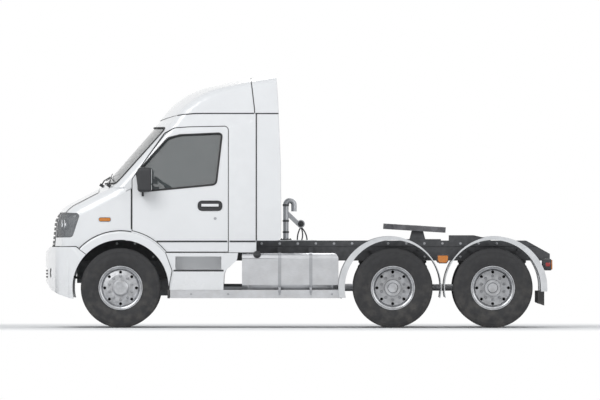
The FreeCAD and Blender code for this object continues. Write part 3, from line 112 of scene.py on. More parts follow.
class Signal:
    """A shader socket that Python's operators add Math nodes to."""

    def __init__(self, board: Board, socket: Any) -> None:
        """Keep the socket and the board that its nodes are added to."""
        self.board = board
        self.socket = socket

    def math(self, operation: str, *others: Any, clamp: bool = False) -> Signal:
        """Add one Math node.

        Args:
            operation: The Math node's operation.
            others: Its second and third values, numbers or signals.
            clamp: Whether the result is kept from 0 to 1.

        Returns:
            The node's result.
        """
        node = self.board.add("ShaderNodeMath", {"operation": operation, "use_clamp": clamp},
                              {index: value for index, value in enumerate((self, *others))})
        return Signal(self.board, node.outputs[0])

    def __add__(self, other: Any) -> Signal:
        """Sum of two values."""
        return self.math("ADD", other)

    __radd__ = __add__

    def __sub__(self, other: Any) -> Signal:
        """Difference of two values."""
        return self.math("SUBTRACT", other)

    def __rsub__(self, other: Any) -> Signal:
        """Difference, with the signal second."""
        return (self * -1.0) + other

    def __mul__(self, other: Any) -> Signal:
        """Product of two values."""
        return self.math("MULTIPLY", other)

    __rmul__ = __mul__

    def __truediv__(self, other: Any) -> Signal:
        """Quotient of two values."""
        return self.math("DIVIDE", other)

    def __abs__(self) -> Signal:
        """Size of the value without its sign."""
        return self.math("ABSOLUTE")

    def clamped(self) -> Signal:
        """The value kept from 0 to 1."""
        return self.math("ADD", 0.0, clamp=True)

    def step_up(self, start: float, end: float) -> Signal:
        """A smooth climb from 0 at start to 1 at end, or a fall where end is below start."""
        share = ((self - start) / (end - start)).clamped()
        return share * share * (share * -2.0 + 3.0)


class Board:
    """The node tree of one material."""

    def __init__(self, name: str) -> None:
        """Start a material with one Principled shader."""
        self.material = bpy.data.materials.new(name)
        self.material.use_nodes = True
        self.tree = self.material.node_tree
        self.shader = self.tree.nodes["Principled BSDF"]
        self.place = self.add("ShaderNodeTexCoord").outputs["Object"]

    def add(self, kind: str, settings: dict[str, Any] | None = None,
            sockets: dict[Any, Any] | None = None, stops: Sequence[tuple[float, Any]] = ()) -> Any:
        """Add one node.

        Args:
            kind: The node's type.
            settings: Its properties, which are set first.
            sockets: Values or links of its inputs, by name or number.
            stops: A colour ramp's places and colours.

        Returns:
            The new node.
        """
        node = self.tree.nodes.new(kind)
        for name, value in (settings or {}).items():
            setattr(node, name, value)
        for index, (position, colour) in enumerate(stops):
            if index >= len(node.color_ramp.elements):
                node.color_ramp.elements.new(position)
            node.color_ramp.elements[index].position = position
            node.color_ramp.elements[index].color = (*colour, 1.0)
        for name, value in (sockets or {}).items():
            self.join(node.inputs[name], value)
        return node

    def join(self, target: Any, value: Any) -> None:
        """Set a socket to a number, a colour, a signal or another socket."""
        source = value.socket if isinstance(value, Signal) else value
        if isinstance(source, bpy.types.NodeSocket):
            self.tree.links.new(source, target)
        elif isinstance(source, tuple) and len(source) == 3 and len(target.default_value) == 4:
            target.default_value = (*source, 1.0)
        else:
            target.default_value = source

    def set(self, name: str, value: Any) -> None:
        """Set or link one input of the Principled shader."""
        self.join(self.shader.inputs[name], value)

    def split(self) -> tuple[Signal, Signal, Signal]:
        """The three Object coordinates as signals."""
        node = self.add("ShaderNodeSeparateXYZ", None, {0: self.place})
        return tuple(Signal(self, output) for output in node.outputs)

    def noise(self, scale: float, detail: float = 3.0, stretch: Point = (1.0, 1.0, 1.0)) -> Signal:
        """Noise on Object coordinates.

        Args:
            scale: Cells to a metre.
            detail: Octaves of the noise.
            stretch: Stretch of the pattern along the axes.

        Returns:
            The noise, from 0 to 1.
        """
        axes = self.add("ShaderNodeMapping", None, {"Vector": self.place, "Scale": stretch}).outputs[0]
        node = self.add("ShaderNodeTexNoise", None, {"Vector": axes, "Scale": scale, "Detail": detail})
        return Signal(self, node.outputs[0])

    @staticmethod
    def wave(place: Signal, pitch: float) -> Signal:
        """A sine wave along a coordinate, with a pitch in metres."""
        return (place * (2.0 * math.pi / pitch)).math("SINE")

    def blend(self, share: Any, low: Any, high: Any) -> Any:
        """A colour between two colours."""
        node = self.add("ShaderNodeMix", {"data_type": "RGBA"}, {0: share, 6: low, 7: high})
        return node.outputs[2]

    def bump(self, height: Signal, strength: float, distance: float, edge: float = 0.0) -> None:
        """Give the surface relief.

        Args:
            height: The relief's height, from 0 to 1.
            strength: The Bump node's strength.
            distance: The relief's depth in metres.
            edge: Radius that sharp edges are softened by.
        """
        sockets = {"Height": height, "Strength": strength, "Distance": distance}
        if edge:
            sockets["Normal"] = self.add("ShaderNodeBevel", {"samples": 4}, {"Radius": edge}).outputs[0]
        self.set("Normal", self.add("ShaderNodeBump", None, sockets).outputs[0])


# ---- finishes


class Pattern(Enum):
    """The kinds of surface on the vehicle, each with the method of Finish that makes it."""

    LACQUERED = "lacquer"
    SATIN = "satin"
    BRUSHED = "brushed"
    CAST = "cast"
    MOULDED = "moulded"
    WOVEN = "woven"
    TREAD = "tread"
    CHEQUER = "chequer"
    LENS = "lens"
    CLEAR = "clear"
    SILVERED = "silvered"


@dataclass(frozen=True)
class Finish:
    """One finish, and the record's material slot that it belongs to."""

    name: str
    slot: str
    colour: Point
    pattern: Pattern
    roughness: float
    metallic: float = 0.0
    coat: float = 0.0
    second: Point | None = None
    dust: float = 0.0
    cover: float = 1.0

    def build(self) -> bpy.types.Material:
        """Make the material's nodes.

        Returns:
            The finished material.
        """
        board = Board(self.name)
        board.set("Metallic", self.metallic)
        board.set("Coat Weight", self.coat)
        board.set("Coat Roughness", COAT_ROUGHNESS)
        getattr(self, self.pattern.value)(board)
        board.material.diffuse_color = (*self.colour, 1.0)
        return board.material

    def tinted(self, board: Board, cloud: Signal, spread: float = 0.08, wear: float = 0.1) -> None:
        """Vary the colour a little with a cloud, and lay dust on the lower parts.

        Args:
            board: The material's board.
            cloud: A noise from 0 to 1.
            spread: How much darker the dark places are.
            wear: How much rougher the worn places are.
        """
        deep = tuple(channel * (1.0 - spread) for channel in self.colour)
        colour = board.blend(cloud.step_up(*CLOUD), deep, self.second or self.colour)
        rough = cloud * wear + (self.roughness - wear / 2.0)
        if self.dust:
            height = board.split()[2]
            settled = height.step_up(*DUST_HEIGHTS) * board.noise(9.0, 4.0).step_up(0.35, 0.75) * self.dust
            colour = board.blend(settled, colour, DUST)
            rough = rough + settled * 0.4
        board.set("Base Color", colour)
        board.set("Roughness", rough.clamped())

    def lacquer(self, board: Board) -> None:
        """Gloss paint with a fine orange peel."""
        self.tinted(board, board.noise(2.2, 4.0), 0.03, 0.03)
        board.bump(board.noise(620.0, 2.0), 0.05, 0.0006, 0.004)

    def satin(self, board: Board) -> None:
        """Satin paint on steel."""
        self.tinted(board, board.noise(14.0, 5.0), 0.3)
        board.bump(board.noise(260.0, 3.0), 0.15, 0.0008, 0.003)

    def brushed(self, board: Board) -> None:
        """Metal with fine lines along the vehicle."""
        lines = board.noise(30.0, 5.0, (0.6, 14.0, 14.0))
        self.tinted(board, lines * 0.5 + board.noise(5.0) * 0.5, 0.2)
        board.bump(lines, 0.08, 0.0006, 0.003)

    def cast(self, board: Board) -> None:
        """Rough cast metal."""
        self.tinted(board, board.noise(11.0, 6.0), 0.35)
        board.bump(board.noise(340.0, 4.0), 0.35, 0.0012, 0.003)

    def moulded(self, board: Board) -> None:
        """Plastic with a leather-like grain."""
        cells = board.add("ShaderNodeTexVoronoi", {"feature": "SMOOTH_F1"},
                          {"Vector": board.place, "Scale": 380.0}).outputs[0]
        self.tinted(board, board.noise(6.0, 4.0), 0.12)
        board.bump(Signal(board, cells), 0.1, 0.0006, 0.002)

    def woven(self, board: Board) -> None:
        """Cloth of crossed threads."""
        across, along, up = board.split()
        threads = board.wave(across + up, 0.006) * board.wave(along + up * 0.5, 0.006) * 0.5 + 0.5
        self.tinted(board, threads * 0.6 + board.noise(12.0) * 0.4, 0.45)
        board.bump(threads, 0.5, 0.001)

    def tread(self, board: Board) -> None:
        """Tyre rubber, a little bloomed."""
        self.tinted(board, board.noise(17.0, 5.0), 0.25)
        board.bump(board.noise(420.0, 3.0), 0.25, 0.0008)

    def chequer(self, board: Board) -> None:
        """Plate with raised bars that cross."""
        across, along, _ = board.split()
        bars = abs(board.wave(across + along, 0.045) * board.wave(across - along, 0.045)).step_up(0.55, 0.8)
        self.tinted(board, board.noise(20.0, 4.0), 0.2)
        board.bump(bars, 0.6, 0.002, 0.002)

    def lens(self, board: Board) -> None:
        """Moulded lamp lens with fine upright ribs."""
        across, along, _ = board.split()
        ribs = board.wave(across + along, 0.011) * 0.5 + 0.5
        colour = board.blend(ribs, tuple(channel * 0.72 for channel in self.colour), self.colour)
        board.set("Base Color", colour)
        board.set("Roughness", board.noise(30.0) * 0.05 + self.roughness)
        board.set("Transmission Weight", 0.25)
        board.bump(ribs, 0.3, 0.0012, 0.002)

    def smeared(self, board: Board, smear: Signal, spread: float) -> Signal:
        """Give a smooth surface faint smears of colour and roughness.

        Args:
            board: The material's board.
            smear: A noise from 0 to 1.
            spread: How much rougher the smears are.

        Returns:
            The smears.
        """
        board.set("Base Color", board.blend(smear, self.colour, self.second or self.colour))
        board.set("Roughness", smear * spread + self.roughness)
        return smear

    def clear(self, board: Board) -> None:
        """Glass that shows what is behind it, with a faint tint."""
        smear = self.smeared(board, board.noise(7.0, 3.0), 0.03)
        board.set("IOR", 1.45)
        board.set("Alpha", self.cover - smear * 0.04)
        board.set("Coat Weight", 0.6)

    def silvered(self, board: Board) -> None:
        """A mirror's face."""
        self.smeared(board, board.noise(9.0, 2.0), 0.02)


class Finishes:
    """Every finish of the vehicle, made once and shared."""

    TABLE = (
        Finish("paint_white", "paint", WHITE, Pattern.LACQUERED, 0.26, coat=0.7, dust=0.1),
        Finish("paint_chassis", "chassis_steel", (0.075, 0.077, 0.082), Pattern.SATIN, 0.48, dust=0.35),
        Finish("tyre_black", "tyre", (0.034, 0.034, 0.036), Pattern.TREAD, 0.78, dust=0.12),
        Finish("wheel_silver", "wheel_silver", (0.56, 0.57, 0.59), Pattern.SATIN, 0.36, metallic=0.75, dust=0.15),
        Finish("glass_tinted", "glass", (0.055, 0.075, 0.08), Pattern.CLEAR, 0.02, second=(0.07, 0.09, 0.095),
               cover=0.42),
        Finish("lamp_clear", "lamp_clear", (0.8, 0.83, 0.86), Pattern.CLEAR, 0.02, second=(0.84, 0.87, 0.9),
               cover=0.13),
        Finish("lamp_red", "lamp_red", (0.5, 0.012, 0.012), Pattern.LENS, 0.12, coat=0.6),
        Finish("lamp_amber", "lamp_amber", (0.85, 0.27, 0.015), Pattern.LENS, 0.12, coat=0.6),
        Finish("tank_aluminium", "aluminium", (0.6, 0.61, 0.63), Pattern.BRUSHED, 0.34, metallic=0.95, dust=0.15),
        Finish("guard_aluminium", "guard_silver", (0.62, 0.63, 0.65), Pattern.BRUSHED, 0.42, metallic=0.9, dust=0.2),
        Finish("plastic_black", "black_plastic", (0.03, 0.031, 0.034), Pattern.MOULDED, 0.52, dust=0.15),
        Finish("mudguard_plastic", "mudguard_white", (0.7, 0.71, 0.72), Pattern.MOULDED, 0.5, dust=0.1),
        Finish("rubber_moulded", "rubber", (0.028, 0.028, 0.029), Pattern.TREAD, 0.7, dust=0.08),
        Finish("engine_casting", "engine_grey", (0.22, 0.23, 0.24), Pattern.CAST, 0.55, metallic=0.3, dust=0.3),
        Finish("steel_bare", "shaft_steel", (0.42, 0.43, 0.45), Pattern.BRUSHED, 0.4, metallic=0.9, dust=0.2),
        Finish("plate_chequered", "tread_plate", (0.56, 0.57, 0.58), Pattern.CHEQUER, 0.4, metallic=0.9),
        Finish("plate_cast", "plate_steel", (0.15, 0.15, 0.16), Pattern.CAST, 0.42, metallic=0.6),
        Finish("hose_rubber", "hose", (0.035, 0.036, 0.042), Pattern.TREAD, 0.55),
        Finish("seat_cloth", "seat_fabric", (0.115, 0.125, 0.145), Pattern.WOVEN, 0.88, second=(0.15, 0.16, 0.185)),
        Finish("fascia_plastic", "fascia_plastic", (0.085, 0.087, 0.094), Pattern.MOULDED, 0.74),
        Finish("lamp_reflector", "chrome", (0.78, 0.79, 0.81), Pattern.SILVERED, 0.1, metallic=1.0),
        Finish("mirror_face", "mirror_glass", (0.82, 0.84, 0.86), Pattern.SILVERED, 0.03, metallic=1.0),
    )

    def __init__(self) -> None:
        """Make every material."""
        self.by_slot = {finish.slot: finish.build() for finish in self.TABLE}

    def dress(self, piece: Piece, slot: str) -> None:
        """Give a piece its finish and name its slot."""
        piece.data.materials.clear()
        piece.data.materials.append(self.by_slot[slot])

    def carry_over(self, frame: dict[str, Any]) -> None:
        """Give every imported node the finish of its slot."""
        for row in frame["record"]["subparts"]:
            piece = frame["nodes"][row["node"]]
            for place in piece.material_slots:
                place.material = self.by_slot[row["material_slot"]]


# ---- modelling by operators


@dataclass(frozen=True)
class Slab:
    """Two corners of a block, the width of its bevel and the bevel's segments."""

    low: Point
    high: Point
    bevel: float = 0.0
    steps: int = 2


@dataclass
class Assembly:
    """A sub-assembly, with the operators that make, finish, dress and fit its pieces."""

    finishes: Finishes

    @staticmethod
    def clear() -> None:
        """Deselect everything."""
        bpy.ops.object.select_all(action="DESELECT")

    def named(self, name: str) -> Piece:
        """The primitive just added, under its own name, with its place in its mesh."""
        piece = bpy.context.object
        piece.name = name
        piece.data.name = name
        bpy.ops.object.transform_apply(location=True, rotation=True, scale=True)
        return piece

    def only(self, piece: Piece) -> None:
        """Select one piece and make it active."""
        self.clear()
        piece.select_set(True)
        bpy.context.view_layer.objects.active = piece

    def modified(self, piece: Piece, kind: str, **settings: Any) -> Piece:
        """Give a piece a modifier and apply it.

        Args:
            piece: The piece.
            kind: The modifier's type.
            settings: The modifier's properties.

        Returns:
            The piece.
        """
        self.only(piece)
        modifier = piece.modifiers.new(kind.title(), kind)
        for name, value in settings.items():
            setattr(modifier, name, value)
        bpy.ops.object.modifier_apply(modifier=modifier.name)
        return piece

    @staticmethod
    def smoothed(angle: float) -> None:
        """Smooth the active piece, and keep the edges that are sharper than an angle in degrees."""
        bpy.ops.object.shade_smooth_by_angle(angle=math.radians(angle))

    @staticmethod
    def enter() -> None:
        """Enter edit mode with everything selected."""
        bpy.ops.object.mode_set(mode="EDIT")
        bpy.ops.mesh.select_all(action="SELECT")

    @staticmethod
    def leave() -> None:
        """Leave edit mode."""
        bpy.ops.object.mode_set(mode="OBJECT")

    def walled(self, piece: Piece, thickness: float) -> Piece:
        """Give an open surface a thickness, half to each side, with its faces outwards.

        Args:
            piece: The piece.
            thickness: The thickness.

        Returns:
            The piece.
        """
        self.modified(piece, "SOLIDIFY", thickness=thickness, offset=0.0)
        self.enter()
        bpy.ops.mesh.normals_make_consistent(inside=False)
        self.leave()
        self.smoothed(SHEET_ANGLE)
        return piece

    def slab(self, name: str, shape: Slab) -> Piece:
        """A block with the corners and the bevel of a slab."""
        return self.block(name, shape.low, shape.high, shape.bevel, shape.steps)

    def block(self, name: str, low: Sequence[float], high: Sequence[float],
              round_edges: float = 0.0, steps: int = 2) -> Piece:
        """A block between two corners, with rounded edges.

        Args:
            name: Its name.
            low: Its lowest corner.
            high: Its highest corner.
            round_edges: The width of the bevel on its edges.
            steps: The bevel's segments.

        Returns:
            The piece.
        """
        self.clear()
        centre = (Vector(low) + Vector(high)) / 2.0
        bpy.ops.mesh.primitive_cube_add(size=1.0, location=centre)
        bpy.context.object.scale = Vector(high) - Vector(low)
        piece = self.named(name)
        if round_edges:
            self.bevelled(piece, round_edges, steps)
        return piece

    def drum(self, name: str, start: Sequence[float], end: Sequence[float], radius: float,
             sides: int = 32) -> Piece:
        """A round bar between two points.

        Args:
            name: Its name.
            start: The middle of its first end.
            end: The middle of its other end.
            radius: Its radius.
            sides: Its number of sides.

        Returns:
            The piece.
        """
        self.clear()
        run = Vector(end) - Vector(start)
        bpy.ops.mesh.primitive_cylinder_add(vertices=sides, radius=radius, depth=run.length)
        piece = self.named(name)
        turn = run.to_track_quat("Z", "Y").to_matrix().to_4x4()
        piece.data.transform(Matrix.Translation((Vector(start) + Vector(end)) / 2.0) @ turn)
        return piece

    def bevelled(self, piece: Piece, width: float, steps: int = 2) -> Piece:
        """Bevel a piece's edges with a modifier, and smooth it by angle.

        Args:
            piece: The piece.
            width: The bevel's width.
            steps: Its segments.

        Returns:
            The piece.
        """
        self.modified(piece, "BEVEL", width=width, segments=steps, limit_method="ANGLE",
                      angle_limit=math.radians(BEVELLED_FROM))
        self.smoothed(BEVEL_ANGLE)
        return piece

    def pick(self, piece: Piece, test: Test) -> None:
        """Enter edit mode with the faces selected that pass a test.

        Args:
            piece: The piece.
            test: A test of a face.
        """
        self.only(piece)
        bpy.ops.object.mode_set(mode="EDIT")
        bpy.ops.mesh.select_mode(type="FACE")
        bpy.ops.mesh.select_all(action="DESELECT")
        self.leave()
        for polygon in piece.data.polygons:
            polygon.select = bool(test(polygon))
        bpy.ops.object.mode_set(mode="EDIT")

    def sunk(self, piece: Piece, test: Test, margin: float, depth: float,
             each: bool = False) -> Piece:
        """Inset picked faces and push them in, or pull them out where depth is above zero.

        Args:
            piece: The piece.
            test: A test of a face.
            margin: The inset's width.
            depth: How far the inner faces move along their normals.
            each: Whether each face has its own inset.

        Returns:
            The piece.
        """
        self.pick(piece, test)
        bpy.ops.mesh.inset(thickness=margin, depth=0.0, use_individual=each)
        if each:
            bpy.ops.mesh.inset(thickness=0.0001, depth=depth, use_individual=True)
        else:
            bpy.ops.mesh.extrude_region_shrink_fatten(TRANSFORM_OT_shrink_fatten={"value": depth})
        self.leave()
        return piece

    def turned(self, name: str, profile: Outline, centre: Point, steps: int = 96,
               axis: Point = (0.0, 1.0, 0.0)) -> Piece:
        """Spin a profile about an axis.

        Args:
            name: Its name.
            profile: Distances along the axis and radii. It is closed where it doesn't end on the axis.
            centre: The axis's own zero point.
            steps: Steps of the spin.
            axis: The axis's direction.

        Returns:
            The piece.
        """
        self.clear()
        bpy.ops.mesh.primitive_plane_add(size=0.01)
        piece = self.named(name)
        self.enter()
        bpy.ops.mesh.select_mode(type="VERT")
        bpy.ops.mesh.merge(type="CENTER")
        bpy.ops.transform.translate(value=(profile[0][1], profile[0][0], 0.0))
        for (along, radius), (further, wider) in zip(profile, profile[1:]):
            bpy.ops.mesh.extrude_vertices_move(
                TRANSFORM_OT_translate={"value": (wider - radius, further - along, 0.0)})
        if profile[0][1] > 1e-6 and profile[-1][1] > 1e-6:
            bpy.ops.mesh.select_all(action="DESELECT")
            self.leave()
            ends = (0, len(piece.data.vertices) - 1)
            for vertex in piece.data.vertices:
                vertex.select = vertex.index in ends
            bpy.ops.object.mode_set(mode="EDIT")
            bpy.ops.mesh.edge_face_add()
        bpy.ops.mesh.select_all(action="SELECT")
        bpy.ops.mesh.spin(steps=steps, angle=2.0 * math.pi, center=(0.0, 0.0, 0.0), axis=(0.0, 1.0, 0.0))
        bpy.ops.mesh.select_all(action="SELECT")
        bpy.ops.mesh.remove_doubles(threshold=0.00005)
        bpy.ops.mesh.normals_make_consistent(inside=False)
        self.leave()
        self.smoothed(SPIN_ANGLE)
        turn = Vector((0.0, 1.0, 0.0)).rotation_difference(Vector(axis)).to_matrix().to_4x4()
        piece.data.transform(Matrix.Translation(centre) @ turn)
        return piece

    def strip(self, name: str, path: Path, radius: float, closed: bool = False,
              sides: int = 2) -> Piece:
        """A round strip, seal or pipe along a path.

        Args:
            name: Its name.
            path: The points that it follows.
            radius: Its radius.
            closed: Whether it comes back to its start.
            sides: The bevel's resolution.

        Returns:
            The piece, as a mesh.
        """
        line = bpy.data.curves.new(name, "CURVE")
        line.dimensions = "3D"
        line.bevel_depth = radius
        line.bevel_resolution = sides
        line.use_fill_caps = not closed
        run = line.splines.new("POLY")
        run.points.add(len(path) - 1)
        for point, spot in zip(run.points, path):
            point.co = (*spot, 1.0)
        run.use_cyclic_u = closed
        piece = bpy.data.objects.new(name, line)
        bpy.context.scene.collection.objects.link(piece)
        self.only(piece)
        bpy.ops.object.convert(target="MESH")
        piece = bpy.context.object
        self.smoothed(STRIP_ANGLE)
        return piece

    def whole(self, name: str, path: Path, radius: float) -> Piece:
        """A strip along a path that ends at the vehicle's middle, joined with its mirror image."""
        half = self.strip(name, path, radius)
        return self.joined(name, [half, self.mirrored(half, name + "_other")])

    def plate(self, name: str, outline: Outline, lift: Callable[[float, float], Point],
              thickness: float) -> Piece:
        """A flat or curved plate inside an outline.

        Args:
            name: Its name.
            outline: Its corners in the outline's own two directions.
            lift: Where a corner lies in space.
            thickness: Its thickness.

        Returns:
            The piece.
        """
        self.clear()
        bpy.ops.mesh.primitive_circle_add(vertices=len(outline), radius=1.0, fill_type="NGON")
        piece = self.named(name)
        for vertex, (across, up) in zip(piece.data.vertices, outline):
            vertex.co = lift(across, up)
        return self.walled(piece, thickness)

    def sheet(self, name: str, across: Flat, up: Flat, cells: tuple[int, int],
              lift: Callable[[float, float], Sequence[float]], thickness: float) -> Piece:
        """A sheet of a grid of cells, bent to a surface.

        Args:
            name: Its name.
            across: Its limits in the first direction.
            up: Its limits in the second direction.
            cells: Cells in each direction.
            lift: Where a point of the sheet lies in space.
            thickness: Its thickness.

        Returns:
            The piece.
        """
        self.clear()
        bpy.ops.mesh.primitive_grid_add(x_subdivisions=cells[0], y_subdivisions=cells[1], size=2.0)
        piece = self.named(name)
        for vertex in piece.data.vertices:
            u, v = (vertex.co.x + 1.0) / 2.0, (vertex.co.y + 1.0) / 2.0
            vertex.co = lift(across[0] + (across[1] - across[0]) * u, up[0] + (up[1] - up[0]) * v)
        return self.walled(piece, thickness)

    def joined(self, name: str, pieces: Sequence[Piece]) -> Piece:
        """Join pieces of one kind into one mesh.

        Args:
            name: Its name.
            pieces: The pieces.

        Returns:
            The joined piece.
        """
        self.clear()
        for piece in pieces:
            piece.select_set(True)
        bpy.context.view_layer.objects.active = pieces[0]
        bpy.ops.object.join()
        pieces[0].name = name
        return pieces[0]

    def own_copy(self, node: Piece, name: str) -> Piece:
        """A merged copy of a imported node's mesh, as a piece of its own.

        Args:
            node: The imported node.
            name: Its name.

        Returns:
            The piece.
        """
        self.clear()
        bpy.ops.mesh.primitive_cube_add(size=0.01)
        piece = self.named(name)
        piece.data = node.data.copy()
        piece.data.name = name
        self.enter()
        bpy.ops.mesh.remove_doubles(threshold=0.00002)
        self.leave()
        return piece

    def cut(self, piece: Piece, tools: Sequence[Piece]) -> None:
        """Cut tools out of a piece and remove them.

        Args:
            piece: The piece.
            tools: The tools.
        """
        for tool in tools:
            self.modified(piece, "BOOLEAN", operation="DIFFERENCE", solver="EXACT", object=tool)
            bpy.data.objects.remove(tool)
        self.only(piece)
        self.smoothed(SPIN_ANGLE)

    def copied(self, piece: Piece, change: Matrix, name: str = "") -> Piece:
        """A copy with its own mesh, moved or mirrored by a matrix.

        Args:
            piece: The piece.
            change: The matrix.
            name: The copy's name, if it has one of its own.

        Returns:
            The copy.
        """
        other = piece.copy()
        other.data = piece.data.copy()
        other.name = name or piece.name
        bpy.context.scene.collection.objects.link(other)
        other.data.transform(change)
        if change.determinant() < 0.0:
            other.data.flip_normals()
        return other

    def ring(self, piece: Piece, count: int, centre: Point, axis: str = "Y") -> Piece:
        """Repeat a piece round an axis and join the copies.

        Args:
            piece: The first one.
            count: How many there are.
            centre: A point on the axis.
            axis: X, Y or Z.

        Returns:
            The joined ring.
        """
        there, back = Matrix.Translation(centre), Matrix.Translation(-Vector(centre))
        everything = [piece]
        for index in range(1, count):
            turn = Matrix.Rotation(2.0 * math.pi * index / count, 4, axis)
            everything.append(self.copied(piece, there @ turn @ back))
        return self.joined(piece.name, everything)

    def row(self, piece: Piece, steps: Path) -> Piece:
        """Copy a piece by each of several moves, and join them all."""
        everything = [piece] + [self.copied(piece, Matrix.Translation(step)) for step in steps]
        return self.joined(piece.name, everything)

    def mirrored(self, piece: Piece, name: str) -> Piece:
        """The same piece on the vehicle's other side."""
        return self.copied(piece, Matrix.Scale(-1.0, 4, (0.0, 1.0, 0.0)), name)

    def fit(self, piece: Piece, slot: str, body: str = "chassis", *nodes: str) -> None:
        """Dress a finished piece and let it ride.

        Args:
            piece: The piece.
            slot: Its material slot.
            body: The body that it moves with.
            nodes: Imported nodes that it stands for.
        """
        self.finishes.dress(piece, slot)
        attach(piece, body)
        if nodes:
            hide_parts(*nodes)
        LOG.info("%s: %d faces on %s", piece.name, len(piece.data.polygons), body)

    def fit_joined(self, name: str, pieces: Sequence[Piece], slot: str, body: str = "chassis", *nodes: str) -> None:
        """Join pieces, and fit them as one."""
        self.fit(self.joined(name, pieces), slot, body, *nodes)

    def fit_both(self, piece: Piece, slot: str, bodies: tuple[str, str] = CHASSIS,
                 nodes: tuple[str, ...] = ()) -> None:
        """Fit a left piece and its mirror image, whose names end in _left and _right.

        Args:
            piece: The left piece.
            slot: Their material slot.
            bodies: The bodies that the left and the right piece move with.
            nodes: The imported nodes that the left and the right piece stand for.
        """
        stem = piece.name
        other = self.mirrored(piece, stem + "_right")
        piece.name = stem + "_left"
        self.fit(piece, slot, bodies[0], *nodes[:1])
        self.fit(other, slot, bodies[1], *nodes[1:])


def rounded(corners: Corners, steps: int = 6) -> list[Flat]:
    """Points round a closed outline with rounded corners.

    Args:
        corners: Its corners.
        steps: Pieces of each rounded corner.

    Returns:
        The points in order.
    """
    points: list[Flat] = []
    count = len(corners)
    for index, (across, up, radius) in enumerate(corners):
        here = Vector((across, up))
        back = (Vector(corners[index - 1][:2]) - here).normalized()
        onward = (Vector(corners[(index + 1) % count][:2]) - here).normalized()
        if radius <= 0.0:
            points.append((across, up))
            continue
        half = back.angle(onward) / 2.0
        reach = radius / math.tan(half)
        for step in range(steps + 1):
            share = step / steps
            first = here + back * reach * (1.0 - share)
            second = here + onward * reach * share
            spot = first.lerp(second, share)
            points.append((spot.x, spot.y))
    return points


def spread(start: float, end: float, count: int) -> list[float]:
    """Evenly spread values from start to end."""
    return [start + (end - start) * index / (count - 1) for index in range(count)]


def arc(centre: Flat, radius: float, start: float, end: float, count: int) -> list[Flat]:
    """Points along an arc between two angles in degrees."""
    turns = [math.radians(degrees) for degrees in spread(start, end, count)]
    return [(centre[0] + radius * math.cos(turn), centre[1] + radius * math.sin(turn)) for turn in turns]


def tilted(place: Point, degrees: float) -> Matrix:
    """The matrix that tilts a piece about the cross axis and moves it to a place."""
    return Matrix.Translation(place) @ Matrix.Rotation(math.radians(degrees), 4, "Y")


def oblong(low: Flat, high: Flat, radius: float, steps: int = 6) -> list[Flat]:
    """Points round an oblong between two corners, all four rounded by one radius."""
    (left, bottom), (right, top) = low, high
    return rounded(((left, bottom, radius), (right, bottom, radius), (right, top, radius), (left, top, radius)),
                   steps)


# ---- wheels


@dataclass(frozen=True)
class TyreTread:
    """How a tyre's tread is cut: its grooves' places, and the notches across its ribs."""

    grooves: tuple[float, ...]
    notch_from: float
    notch_to: float
    notch_depth: float
    every: int = 2


